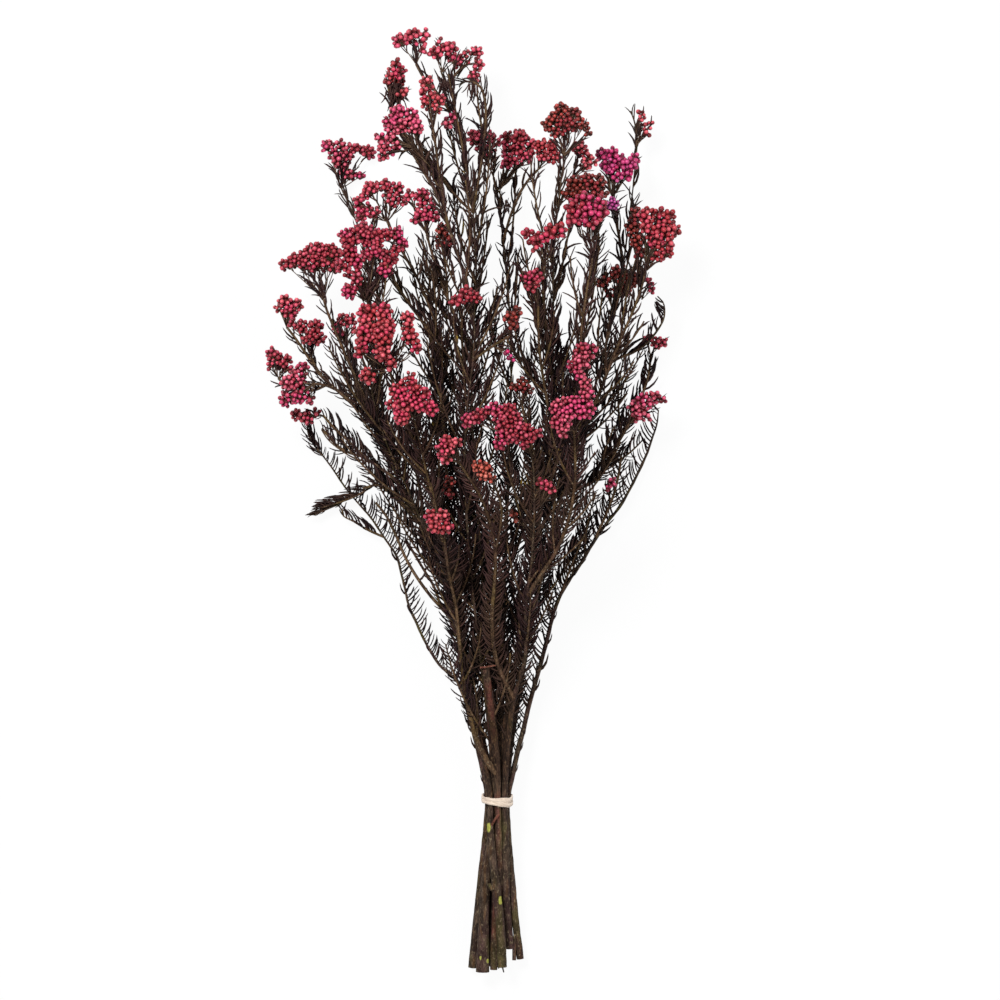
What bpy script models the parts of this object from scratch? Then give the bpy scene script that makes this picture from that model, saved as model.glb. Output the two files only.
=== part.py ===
"""Bunch of preserved rice flower: eleven woody stems held by a cotton tie.

The bunch lies on a table, as a cut bunch with no vase does. It runs along +Y: the cut ends are
at -Y, the flowers at +Y, and the table is Z = 0. The plan below is in millimetres, and MM turns
it into metres. Every stem is one solid with its side branches grown on; each flower head and
each leafy shoot is a solid of its own, a hair's breadth from the twig that carries it.
"""
import math

import bmesh
import bpy
from mathutils import Vector

MM = 0.001

# Driving dimensions, in millimetres
SEAT_GAP = 0.3          # air between two solids that touch
TIE_Y = -190.0          # where the tie grips the stems
TIE_CENTRE = (16.5, 22.0)   # X and Z of the bundle's middle at the tie
TIE_INNER_RADIUS = 9.05
TIE_THICKNESS = 1.2
TIE_STRAND = 3.4        # width of one of the two cord loops, along Y
TIE_SIDES = 20
TWIG_TIP_RADIUS = 0.8   # every branch ends this thick, where a head or a shoot sits
TRUNK_SIDES = 6
BRANCH_SIDES = 5
HEAD_FACES_KEPT = 0.42  # share of a fused head's faces that its own form needs
NEEDLE_LENGTH = 10.0
NEEDLE_RADIUS = 0.75
NEEDLE_PITCH = 2.8      # along the twig, from one needle to the next
NEEDLE_LEAN = 0.9       # how far a needle leans towards the twig's tip, 0 for none
GOLDEN_ANGLE = math.radians(137.5)

# Each stem: radius at its cut end, at the tie and at its tip, then its route from the cut end up
STEMS = {
    "stem_01": (1.9, 1.65, 0.8, [
        (14, -290, 8.4), (14.6, -255, 13), (15.8, -228, 16.4), (16.4, -206, 18.6),
        (16.5, -190, 19.9),
        (16.5, -165, 22), (15, -140, 25), (12, -110, 29), (9, -80, 33), (7, -50, 38), (5, -20, 43),
        (3, 10, 48), (1, 40, 54), (0, 70, 60), (0, 95, 65), (2, 120, 69), (3, 145, 71),
        (2, 165, 72), (1, 182, 71), (-1, 198, 69), (-4, 213, 66), (-8, 232, 61), (-12, 248, 56),
        (-16, 262, 51), (-19, 271, 48)]),
    "stem_02": (1.9, 2.2, 2.4, [
        (14, -298.5, 13.2), (15, -270, 16), (17, -246, 19.6), (17.3, -226, 23.2),
        (17, -208, 26.6), (16.5, -190, 28.3), (16.4, -174, 29.5), (15, -155, 33),
        (13, -138, 37), (11, -122, 41), (9, -106, 46)]),
    "stem_03": (2.6, 2.0, 0.8, [
        (19.4, -296.5, 20.6), (18.4, -272, 23), (16, -250, 25.6), (13.3, -226, 27.2),
        (11.9, -207, 27.2), (12, -190, 26.5), (9.8, -174, 27), (7.3, -160, 27.8), (4.6, -145, 29),
        (1.5, -130, 30.5), (-1, -116, 32.5), (-5, -98, 36), (-10, -78, 41), (-16, -58, 47),
        (-22, -40, 53), (-29, -20, 60), (-37, 0, 68), (-46, 20, 76), (-54, 38, 84), (-60, 58, 91),
        (-64, 78, 97), (-65, 98, 102), (-64, 114, 105.5), (-65, 124, 107.5)]),
    "stem_04": (2.2, 2.0, 0.8, [
        (24.2, -285, 13.4), (23, -268, 15.4), (21.8, -250, 18.6), (21.7, -226, 22.6),
        (21.2, -206, 25.3), (21, -190, 26.5), (21.6, -172, 28.3), (22.8, -156, 30.5),
        (24.5, -140, 33.5), (26.8, -125, 37), (30.5, -112, 42), (34, -98, 48.5), (34, -80, 58),
        (35, -60, 70), (37.5, -40, 81), (39, -20, 92), (39.5, 0, 103), (39, 18, 114),
        (37, 30, 122), (33.5, 38, 131)]),
    "stem_05": (1.9, 1.9, 0.8, [
        (30.9, -291.8, 9), (28.3, -272, 12), (26, -248, 15.2), (24, -226, 18.4),
        (22.9, -206, 20.9), (22.6, -190, 22), (26, -174, 20.5), (29.5, -158, 19),
        (33, -145, 17.5), (36, -132, 16.2), (39.5, -119, 15), (43, -107, 14), (46, -96, 13),
        (49, -84, 12.3), (52.5, -70, 11.5), (57, -59, 11), (63, -49, 10.5), (70, -39, 10),
        (77, -27, 9.5), (86, -14, 9), (94, -4, 8.5), (101, 8, 8), (107, 20, 8), (112, 31, 8)]),
    "stem_06": (2.3, 2.2, 0.8, [
        (19, -293, 2.5), (19.6, -262, 6.6), (20.3, -232, 11.4), (20.8, -208, 15.2),
        (20.95, -190, 17.5), (23.5, -165, 14.5), (27, -140, 12.5), (32, -112, 12.5), (37, -85, 13.5),
        (43, -55, 15.5), (50, -25, 18), (58, 5, 21), (66, 32, 23.5), (74, 58, 25.5), (81, 82, 27),
        (87, 105, 28), (92, 127, 28), (96, 148, 27), (99, 170, 26), (101.5, 190, 25),
        (103.5, 208, 24), (104.5, 222, 23)]),
    "stem_07": (2.5, 2.2, 0.8, [
        (7.6, -294, 2.7), (8.8, -262, 6.6), (10.4, -232, 11.4), (11.5, -208, 15.2),
        (12.15, -190, 17.7), (9.5, -165, 14.5), (4, -140, 12.5), (-3, -110, 12.5), (-10, -82, 14),
        (-17, -54, 17), (-25, -32, 21), (-33, -14, 25), (-42, 3, 28), (-50, 22, 30),
        (-57, 45, 31), (-61, 70, 32), (-63, 95, 32), (-64, 120, 31), (-66, 145, 28),
        (-70, 168, 23), (-77, 186, 17), (-83, 199, 12)]),
    "stem_08": (2.3, 2.1, 0.8, [
        (0.4, -297.5, 7), (2.9, -272, 10), (5.4, -248, 13.2), (7.8, -226, 17),
        (9.4, -206, 20.2), (10.2, -190, 22), (7.8, -174, 20.8), (4.4, -160, 19.8), (0.8, -147, 18.9),
        (-2.6, -134, 18), (-6, -120, 17.5), (-12, -112, 16.5), (-20, -105, 15.5), (-26, -96, 15),
        (-31, -87, 14), (-35.5, -77, 13), (-40, -67, 12), (-42.5, -56, 11.5), (-45, -46, 11),
        (-48, -35, 10.5), (-56, -23, 10), (-64, -11, 9.5), (-71, -3, 9), (-77, 4, 8.5),
        (-83, 12, 8), (-89, 21, 8), (-95, 29, 8)]),
    "stem_09": (2.4, 2.2, 0.8, [
        (13.4, -297, 2.6), (14, -262, 5.8), (15.2, -232, 9.8), (16, -208, 13.5),
        (16.5, -190, 15.7), (17.5, -165, 12.5), (18.5, -140, 10.5), (19.5, -110, 10.5),
        (20.5, -80, 11.5), (21, -50, 13), (22, -20, 15), (23, 10, 17), (24, 40, 19), (25, 70, 21),
        (25, 95, 22), (24, 120, 23), (22, 145, 23), (20, 165, 23), (18.5, 182, 22),
        (18, 198, 20)]),
    "stem_10": (3.9, 1.65, 0.8, [
        (6.9, -299.8, 14.6), (7.6, -272, 17.2), (8.6, -246, 20), (10.8, -224, 22),
        (13.6, -205, 22.9), (14.7, -190, 23.05), (13.4, -172, 25.8), (11.8, -150, 29),
        (9.5, -128, 33.5), (7, -108, 39), (4, -85, 46), (1, -60, 54), (-1, -35, 62),
        (-3, -10, 69), (-4, 15, 75.5), (-4, 40, 82), (-2, 65, 88), (1, 88, 93), (2, 108, 96),
        (-1, 126, 98.5), (-5, 141, 100), (-9, 156, 101), (-14, 170, 101), (-19, 184, 100.5),
        (-25, 198, 100), (-30, 211, 99), (-34, 221, 98.5)]),
    "stem_11": (2.0, 1.65, 0.8, [
        (19.2, -294, 9.4), (19.4, -272, 11.6), (19.9, -250, 14.2), (19.8, -226, 18),
        (19.2, -206, 21.6), (18.3, -190, 23.05), (19, -170, 24.8), (20.5, -148, 27),
        (23.5, -125, 30.5), (27.5, -102, 35), (32, -78, 40), (36.5, -52, 45.5), (41, -25, 51),
        (45, 0, 57), (48, 25, 62.5), (50, 50, 67.5), (51, 75, 72), (51.5, 100, 76),
        (51.5, 125, 79), (51.5, 148, 81), (52.5, 168, 82), (54.5, 185, 81.5), (56.5, 202, 80.5),
        (58.5, 217, 79.5)]),
}

# Each branch: what it grows on, at which point of that route, its radius there, and its route
BRANCHES = {
    "hooked_top": ("stem_01", 18, 1.0, [
        (4, 200, 70), (7, 218, 68), (9, 240, 64), (8.5, 252, 61), (6, 261, 59), (1, 264.5, 57)]),
    "crossing_twig": ("stem_01", 18, 0.9, [
        (-6, 188, 77), (-13, 196, 81), (-20, 206, 84), (-26, 215, 86), (-31, 222, 87)]),
    "top_left": ("stem_01", 21, 0.9, [(-14, 246, 62), (-22, 258, 61), (-30, 267, 57),
                                      (-35, 276, 54)]),
    "top_right": ("stem_01", 23, 0.8, [(-9, 271, 50), (-4, 276, 49)]),
    "upper_left": ("stem_01", 14, 1.1, [
        (-8, 112, 72), (-16, 130, 79), (-22, 147, 84), (-26, 160, 87), (-28, 168, 88)]),
    "middle_front": ("stem_01", 13, 1.0, [(-4, 86, 76), (-6, 102, 89), (-6, 114, 99)]),
    "left_arm": ("stem_02", 6, 2.0, [
        (11, -167, 32), (6, -158, 34.5), (2, -148, 37), (-1, -136, 39.5), (-4, -122, 42),
        (-6.5, -105, 46), (-8, -85, 51), (-10, -65, 58), (-14, -45, 66), (-19, -22, 77),
        (-24, 0, 88), (-29, 22, 100), (-33, 40, 113), (-36, 52, 125)]),
    "low_front": ("left_arm", 8, 1.0, [(-13, -52, 72), (-15, -40, 86), (-16, -31, 97),
                                       (-17, -24, 105)]),
    "front_left": ("left_arm", 11, 1.2, [
        (-31, 22, 94), (-38, 42, 101), (-44, 59, 107), (-48, 72, 113), (-51, 81, 122)]),
    "inner_left": ("left_arm", 7, 1.5, [
        (-12, -55, 53), (-14, -25, 56), (-15, 5, 59), (-17, 35, 62), (-19, 65, 65),
        (-20, 90, 68), (-21, 105, 69), (-26, 121, 70), (-33, 138, 70), (-40, 151, 70),
        (-47, 163, 70), (-53, 176, 70)]),
    "inner_left_twig": ("inner_left", 6, 0.9, [
        (-27, 106, 75), (-34, 117, 79), (-41, 127, 82), (-47, 136, 85), (-51, 144, 87)]),
    "cut_fork": ("stem_03", 3, 1.1, [(13.6, -246.5, 28.2), (10.9, -243, 29.2)]),
    "cut_twig": ("stem_03", 4, 0.8, [(14.1, -203.5, 30.2), (17, -199, 32)]),
    "second_left": ("stem_03", 12, 1.1, [
        (-19, -68, 38), (-27, -59, 36), (-35, -48, 33), (-42, -36, 30), (-48, -22, 27),
        (-54, -10, 24), (-61, -1, 22)]),
    "third_left": ("second_left", 1, 0.9, [(-24, -54, 41), (-30, -44, 42), (-36, -34, 42),
                                           (-42, -24, 41)]),
    "outer_left": ("stem_03", 17, 1.3, [
        (-55, 37, 75), (-65, 51, 72), (-75, 61, 69), (-85, 70, 65), (-95, 79, 60),
        (-102, 89, 55), (-108, 98, 51), (-113, 105, 47), (-117, 110, 45)]),
    "outer_left_inside": ("outer_left", 5, 0.9, [(-99, 86, 63), (-101, 91, 67)]),
    "outer_left_side": ("outer_left", 4, 0.9, [(-92, 73, 60), (-99, 74, 55)]),
    "outer_left_low": ("outer_left_side", 1, 0.9, [
        (-100, 70, 46), (-110, 70, 34), (-118, 73, 22), (-123, 78, 12)]),
    "umbrella_stalk": ("stem_03", 18, 1.1, [
        (-64, 58, 84), (-73, 78, 82), (-81, 96, 79), (-87, 110, 75), (-91, 120, 72),
        (-93, 127, 70)]),
    "low_left": ("stem_03", 15, 1.2, [
        (-39, 0, 56), (-49, 14, 51), (-58, 21, 46), (-68, 28, 41), (-78, 38, 37),
        (-87, 46, 34), (-94, 54, 32)]),
    "low_left_twig": ("low_left", 4, 0.9, [(-76, 30, 37), (-84, 34, 34), (-90, 40, 32),
                                           (-95, 46, 30)]),
    "plume": ("stem_04", 9, 1.4, [
        (22, -116, 42), (17.5, -106, 47), (14, -92, 55), (13, -72, 66), (14.5, -52, 78),
        (15, -32, 90), (12, -14, 100), (6, 2, 110), (-1, 14, 118), (-7, 23, 125)]),
    "plume_side": ("plume", 6, 0.9, [(18, -18, 101), (19, -6, 111), (17, 4, 119),
                                     (14.5, 9.5, 125)]),
    "front_right": ("stem_04", 13, 1.3, [
        (44, -46, 80), (53, -32, 90), (60, -15, 101), (64, 4, 111), (65, 22, 118),
        (64.5, 35, 123), (64, 44, 131)]),
    "cut_sliver": ("stem_05", 1, 0.8, [(27.2, -282, 13), (27, -292.5, 12.5)]),
    "outer_right_twig": ("stem_05", 18, 0.9, [(84, -12, 12.5), (90, 3, 15.5), (93.5, 17, 18),
                                              (95, 29, 19.5)]),
    "right_arc": ("stem_06", 11, 1.3, [
        (68, 8, 19), (78, 13, 17), (86, 22, 15), (92, 36, 13), (98, 48, 11.5), (104, 59, 10),
        (109.5, 70, 8.5), (113, 82, 7), (114, 93, 5.5)]),
    "right_front": ("right_arc", 2, 0.9, [(84, 22, 23), (90, 32, 30), (96, 42, 36),
                                          (100, 49, 40)]),
    "right_low": ("stem_06", 15, 0.9, [(88, 115, 24), (89.5, 122, 20)]),
    "right_magenta": ("stem_06", 17, 1.0, [(94, 165, 32), (91, 180, 37), (89, 192, 40)]),
    "right_curl": ("stem_06", 14, 1.0, [(92, 90, 28), (102, 94, 29), (110, 99, 29.5)]),
    "left_low_leaves": ("stem_07", 11, 1.0, [(-43, -4, 25), (-52, 5, 23), (-60, 10, 21),
                                             (-69, 8, 19)]),
    "left_behind": ("stem_07", 13, 1.1, [(-61, 45, 40), (-70, 66, 48), (-76, 84, 53),
                                         (-79, 98, 56)]),
    "far_left_side": ("stem_08", 23, 0.8, [(-81, 1, 9), (-85, -2, 9.5)]),
    "far_left_low": ("stem_08", 20, 0.8, [(-63, -20, 8.8), (-69, -17, 8.5)]),
    "centre_low": ("stem_09", 18, 0.9, [(16, 196, 17), (14, 206, 12)]),
    "centre_right": ("stem_09", 17, 0.9, [(25, 182, 27), (31, 196, 29), (37, 205, 30),
                                          (42, 210, 31)]),
    "table_left": ("stem_09", 8, 1.1, [
        (8, -45, 10), (-4, -5, 9), (-14, 35, 8.5), (-22, 75, 8.5), (-27, 105, 9)]),
    "table_right": ("stem_09", 9, 1.1, [(34, -15, 11), (45, 25, 9.5), (52, 60, 9), (56, 95, 9)]),
    "top_front": ("stem_10", 22, 0.9, [(-17, 186, 99), (-20, 204, 96), (-22, 220, 92),
                                       (-24, 233, 88)]),
    "top_brown": ("stem_10", 24, 0.9, [(-33, 212, 89), (-42, 226, 82), (-49, 238, 78),
                                       (-51, 246, 75)]),
    "centre_front": ("stem_10", 17, 0.9, [(9, 94, 101), (17, 99, 108), (24, 103, 112)]),
    "right_main": ("stem_11", 13, 1.2, [
        (53, 22, 66), (60, 45, 75), (65, 68, 83), (68, 92, 89), (70, 115, 94), (73, 135, 97),
        (76, 152, 99)]),
    "right_dark": ("right_main", 5, 0.9, [(75, 135, 88), (79, 152, 84), (80, 168, 82)]),
    "right_front_low": ("right_main", 2, 0.9, [(66, 56, 88), (70, 66, 98), (72, 75, 105)]),
    "middle_right": ("stem_11", 16, 1.0, [(48, 95, 83), (46, 115, 92), (45, 133, 101),
                                          (46, 147, 107)]),
    "middle_right_low": ("stem_11", 15, 1.0, [(46, 72, 79), (43, 92, 90), (42, 110, 99),
                                              (42, 122, 104)]),
    "top_right_side": ("stem_11", 21, 0.9, [(59, 194, 75), (63, 202, 69)]),
    "far_right": ("stem_11", 12, 1.3, [
        (50, -3, 52), (58, 18, 52), (68, 40, 53), (78, 62, 54), (87, 84, 55), (95, 104, 56),
        (102, 120, 57), (107, 134, 57), (110, 145, 57)]),
    "centre_behind": ("stem_11", 13, 0.9, [(42, 18, 66), (38, 35, 72), (34, 50, 76),
                                           (32, 60, 79)]),
}

# Each flower head: the twig that carries it, its tone, and its round lobes as (x, y, z, radius)
HEADS = {
    "flower_head_01": ("top_left", "crimson", [
        (-45, 290, 52, 5.5), (-37, 294, 50, 5.2), (-30, 295.5, 49, 4.5), (-31, 285, 51, 3.2)]),
    "flower_head_02": ("stem_01", "crimson", [
        (-23, 283, 48, 5), (-14, 286, 46, 5.5), (-10, 279, 45, 5.2), (-20, 291, 47, 3.4)]),
    "flower_head_03": ("top_right", "crimson", [
        (3, 284, 46, 4.5), (4, 276, 46, 4), (1, 269, 46, 4.5)]),
    "flower_head_04": ("top_brown", "russet", [
        (-48, 275, 66, 3.6), (-47, 266, 67, 5.2), (-45, 257, 69, 4.6)]),
    "flower_head_05": ("top_front", "coral", [
        (-28, 263, 84, 5), (-29, 256, 84, 4.4), (-20, 252, 84, 4.5), (-28, 249, 83, 4.4),
        (-22, 246, 83, 4)]),
    "flower_head_06": ("stem_10", "rose", [
        (-46, 243, 98, 5.5), (-37, 242, 99, 5.2), (-45, 235, 99, 5.5), (-35, 234, 100, 6),
        (-52, 238, 96, 4), (-57, 228, 91, 4.2), (-50, 228, 92, 4.6), (-46, 223, 93, 4),
        (-55, 217, 90, 4.6)]),
    "flower_head_07": ("stem_07", "rose", [
        (-92, 226, 8, 5), (-84, 227, 7.5, 4.6), (-83, 217, 7, 6.5), (-80, 208, 7, 5),
        (-75, 224, 7, 4.2), (-66, 222, 6.5, 5.2), (-71, 207, 7, 3.4)]),
    "flower_head_08": ("inner_left", "crimson", [
        (-64, 196, 70, 5.6), (-55, 199, 70, 4.6), (-47, 197, 70, 4.8), (-50, 189, 70, 5),
        (-71, 188, 71, 4.4), (-69, 180, 72, 5), (-61, 182, 72, 4.2), (-43, 188, 70, 3.2)]),
    "flower_head_09": ("upper_left", "crimson", [
        (-39, 192, 88, 4), (-31, 192, 89, 5), (-26, 187, 89, 4.6), (-31, 180, 90, 5.2),
        (-23, 178, 89, 4.2), (-35, 176, 89, 3.4)]),
    "flower_head_10": ("stem_03", "rose", [
        (-78, 165, 113, 5.6), (-68, 168, 115, 6.5), (-58, 166, 115, 5.4), (-46, 167, 112, 4.6),
        (-43, 161, 111, 4), (-60, 157, 117, 6), (-76, 157, 115, 5.2), (-80, 147, 114, 5.2),
        (-71, 150, 117, 4.6), (-50, 152, 114, 5), (-54, 144, 113, 5.2), (-76, 131, 117, 5.6),
        (-72, 138, 117, 4.4)]),
    "flower_head_11": ("umbrella_stalk", "crimson", [
        (-117, 149, 62, 4.8), (-112, 153, 62, 4.2), (-105, 151, 63, 6), (-98, 157, 63, 7),
        (-89, 156, 63, 7), (-97, 149, 64, 6), (-86, 148, 63, 5.5)]),
    "flower_head_12": ("outer_left", "coral", [
        (-118, 126, 42, 5.2), (-122, 122, 42, 3.6), (-111, 124, 42, 4.6), (-115, 118, 43, 4.4)]),
    "flower_head_13": ("outer_left_inside", "crimson", [
        (-112, 112, 74, 4), (-106, 110, 75, 4.6), (-98, 110, 76, 5.2), (-103, 103, 76, 5.2),
        (-96, 102, 76, 4.8)]),
    "flower_head_14": ("left_behind", "crimson", [
        (-81, 115, 58, 4.2), (-76, 116, 58, 3.4), (-87, 112, 57, 3.4), (-84, 106, 58, 3.6),
        (-74, 108, 58, 3)]),
    "flower_head_15": ("outer_left_low", "crimson", [
        (-127, 93, 5.3, 5), (-127.5, 87, 6.3, 3.8), (-119, 89, 5.3, 5), (-117.5, 84, 6.3, 4)]),
    "flower_head_16": ("outer_left_side", "rose", [
        (-107, 84, 51, 4.8), (-116, 75, 50, 5.2), (-108, 74, 51, 4.6), (-117, 64, 49, 5.2),
        (-109, 66, 50, 5.2), (-102, 65, 50, 4)]),
    "flower_head_17": ("low_left", "coral", [
        (-111, 55, 30, 4.4), (-104, 53, 30, 5), (-99, 56, 31, 3.4)]),
    "flower_head_18": ("front_left", "coral", [
        (-66, 117, 131, 5.6), (-54, 118, 132, 5.6), (-40, 114, 129, 4.8), (-66, 105, 133, 6.4),
        (-54, 106, 136, 7), (-38, 102, 132, 5.6), (-69, 93, 129, 4.8), (-55, 93, 135, 6),
        (-34, 95, 129, 4.2), (-50, 85, 132, 4.2), (-64, 78, 128, 5.6)]),
    "flower_head_19": ("left_arm", "coral", [
        (-38, 77, 138, 4), (-46, 68, 139, 5.2), (-36, 70, 141, 5.6), (-29, 67, 140, 4.4),
        (-48, 60, 138, 4.8), (-41, 60, 142, 5.2), (-32, 60, 141, 4.8), (-43, 52, 139, 5.2),
        (-24.5, 57, 138, 4.6)]),
    "flower_head_20": ("middle_front", "crimson", [
        (-8.5, 125, 107, 5), (-3, 130, 108, 4.6), (3, 127, 107, 3.8)]),
    "flower_head_21": ("centre_low", "crimson", [
        (2, 232, 5.9, 5.6), (11, 232, 5.4, 5), (16, 228, 5.9, 4.2), (9, 221, 6, 4)]),
    "flower_head_22": ("stem_09", "crimson", [
        (23, 231, 20, 4.8), (30, 231, 21, 6), (37, 226, 21, 5.2), (22, 223, 21, 4.4),
        (29, 222, 22, 5.2), (35, 218, 22, 4.8), (23, 214, 22, 4.6)]),
    "flower_head_23": ("stem_11", "russet", [
        (56, 246, 77, 5.4), (64, 243, 77, 5.2), (51, 240, 78, 5), (60, 237, 79, 6),
        (47.5, 236, 77, 4), (54, 232, 79, 5), (71, 236, 76, 3.6), (74, 231, 75, 3)]),
    "flower_head_24": ("centre_right", "coral", [
        (44, 225, 30, 5.2), (50, 225, 30, 5), (46, 218, 31, 5), (53, 218, 30, 4.6)]),
    "flower_head_25": ("top_right_side", "coral", [
        (68, 223, 62, 5), (73, 216, 61, 4.2), (77, 214, 60, 3.4), (71, 211, 62, 3.6)]),
    "flower_head_26": ("right_magenta", "magenta", [
        (83, 219, 43, 4.8), (89, 220, 44, 4.6), (86, 212, 44, 4.8), (94, 213, 45, 4.8),
        (100, 213, 45, 5), (104, 217, 44, 3.8), (92, 205, 45, 4.2), (98, 205, 45, 4.2)]),
    "flower_head_27": ("right_dark", "russet", [
        (64, 200, 81, 4.8), (72, 201, 82, 5.2), (80, 201, 82, 4.8), (61, 193, 81, 4),
        (69, 193, 83, 6), (82, 194, 81, 4.2)]),
    "flower_head_28": ("right_main", "rose", [
        (71, 188, 104, 5.6), (80, 187, 103, 4.8), (64, 184, 104, 5.2), (72, 180, 106, 6.2),
        (82, 180, 103, 4.8), (64, 176, 104, 5.2), (75, 174, 105, 4.8)]),
    "flower_head_29": ("middle_right", "coral", [
        (56, 169, 114, 4.8), (49, 168, 115, 5.2), (43, 164, 115, 4.8), (35, 167, 112, 3.8),
        (40, 159, 113, 3.6)]),
    "flower_head_30": ("far_right", "coral", [
        (110, 181, 56, 5), (118, 181, 56, 5), (125, 180, 56, 4.2), (112, 173, 57, 5.6),
        (121, 172, 57, 6), (128.5, 171, 55, 4.4), (116, 164, 57, 5.4), (124, 163, 56, 4.8),
        (117, 155, 56, 4.6), (124, 157, 55, 4.2)]),
    "flower_head_31": ("right_low", "russet", [
        (83, 139, 17, 4.4), (94, 145, 15, 6), (101, 141, 15, 6), (96, 134, 15, 5.4),
        (88, 132, 16, 4.2)]),
    "flower_head_32": ("middle_right_low", "crimson", [
        (34, 140, 109, 4.2), (41, 141, 109, 4.4), (38, 135, 110, 5)]),
    "flower_head_33": ("centre_front", "russet", [
        (28.5, 118, 119, 4), (23.5, 114.5, 119, 4.2), (26, 110, 120, 4.2)]),
    "flower_head_34": ("right_arc", "crimson", [
        (112, 103, 4.6, 4.2), (118, 101, 4.6, 4.4), (123, 102, 4.2, 3)]),
    "flower_head_35": ("right_front_low", "rose", [
        (69, 94, 113, 5.2), (76, 95, 111, 3.8), (69, 86, 114, 5.6), (63, 84, 112, 3.8),
        (67, 79, 113, 4)]),
    "flower_head_36": ("front_right", "rose", [
        (71, 73, 138, 4.4), (72, 65, 139, 5.2), (63, 60, 141, 6), (54, 58, 139, 5.6),
        (72, 56, 139, 5.6), (61, 52, 141, 4.6), (53, 49, 138, 4.4), (57, 43, 136, 4.4)]),
    "flower_head_37": ("right_front", "rose", [
        (110, 66, 43, 3.8), (116, 66, 42, 4.2), (121, 64, 41, 3.2), (102, 60, 44, 4.2),
        (108, 58, 44, 4.2), (104, 53, 43, 3.8), (111, 53, 43, 3.2)]),
    "flower_head_38": ("stem_04", "rose", [
        (-2, 50, 138, 4.8), (5, 53, 139, 4.8), (15, 57, 141, 4.8), (24, 55, 143, 6.2),
        (20, 47, 144, 5.6), (29, 48, 143, 5), (25, 41, 143, 5), (18, 36, 141, 4.8),
        (34, 42, 141, 4.6), (40, 42, 140, 4.4), (33, 35, 139, 3.6)]),
    "flower_head_39": ("centre_behind", "russet", [
        (27, 71, 83, 3.6), (32, 73, 83, 4.6), (36.5, 70, 82, 3.2)]),
    "flower_head_40": ("plume", "coral", [
        (-15, 37, 134, 4.6), (-9, 36, 134, 3.8), (-18.5, 32, 134, 4.2), (-16, 27, 133, 4.4)]),
    "flower_head_41": ("plume_side", "orange", [
        (5, 22, 133, 4.6), (9, 17, 134, 4.6), (13.5, 13.5, 132, 3.6)]),
    "flower_head_42": ("low_front", "coral", [
        (-25, -9, 113, 4.6), (-18, -9, 114, 4.6), (-23, -16, 114, 5), (-15, -17, 113, 4.2)]),
}

# Each leafy shoot: the twig that it ends, and its route from there
SHOOTS = {
    "leafy_shoot_far_left": ("stem_08", [(-100, 35, 8), (-104, 42, 8), (-105, 49, 8)]),
    "leafy_shoot_left": ("far_left_side", [(-92, -5, 9.5), (-100, -9, 9.5)]),
    "leafy_shoot_right": ("stem_05", [(115, 40, 8), (118, 49, 8), (119, 58, 8)]),
    "leafy_shoot_curled": ("right_curl", [(117, 107, 29.5), (122, 116, 29.5), (122, 125, 29),
                                          (118, 130, 28)]),
    "leafy_shoot_spire": ("stem_06", [(105, 232, 22), (103.5, 241, 22), (101, 248, 22)]),
    "leafy_shoot_hooked": ("hooked_top", [(-4, 265, 55), (-8, 262, 54)]),
}

# Colours as linear red, green and blue
TONES = {
    "crimson": (0.30, 0.030, 0.060), "rose": (0.48, 0.055, 0.120), "coral": (0.50, 0.075, 0.085),
    "magenta": (0.42, 0.030, 0.190), "russet": (0.24, 0.040, 0.035), "orange": (0.55, 0.120, 0.060),
}
BARK_COLOUR = (0.060, 0.036, 0.024)
LEAF_COLOUR = (0.022, 0.013, 0.010)
COTTON_COLOUR = (0.72, 0.62, 0.48)


def clear_scene():
    for thing in list(bpy.data.objects):
        bpy.data.objects.remove(thing, do_unlink=True)


def material(name, colour, roughness):
    made = bpy.data.materials.get(name) or bpy.data.materials.new(name)
    made.use_nodes = True
    shader = made.node_tree.nodes["Principled BSDF"]
    shader.inputs["Base Color"].default_value = (*colour, 1.0)
    shader.inputs["Roughness"].default_value = roughness
    shader.inputs["Metallic"].default_value = 0.0
    made.diffuse_color = (*colour, 1.0)
    return made


def bark():
    return material("bark", BARK_COLOUR, 0.8)


def leaf():
    return material("leaf", LEAF_COLOUR, 0.7)


def cotton():
    return material("cotton", COTTON_COLOUR, 0.9)


def petals(tone):
    return material("buds_" + tone, TONES[tone], 0.6)


def add_object(name, mesh, finish=None):
    """Link a mesh as a named object, smooth over its long sides and sharp at its cut ends."""
    thing = bpy.data.objects.new(name, mesh)
    bpy.context.collection.objects.link(thing)
    if finish:
        mesh.materials.clear()
        mesh.materials.append(finish)
    mesh.shade_smooth()
    mesh.set_sharp_from_angle(angle=math.radians(50))
    return thing


def ring(centre, way, radius, count):
    """Points evenly round a circle that faces along way."""
    side = way.orthogonal().normalized()
    across = way.cross(side)
    turns = (math.tau * i / count for i in range(count))
    return [centre + (side * math.cos(a) + across * math.sin(a)) * radius for a in turns]


def mesh_from(shape, name):
    """Turn a bmesh into a mesh whose faces all look outwards."""
    bmesh.ops.recalc_face_normals(shape, faces=shape.faces)
    mesh = bpy.data.meshes.new(name)
    shape.to_mesh(mesh)
    shape.free()
    return mesh


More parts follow.
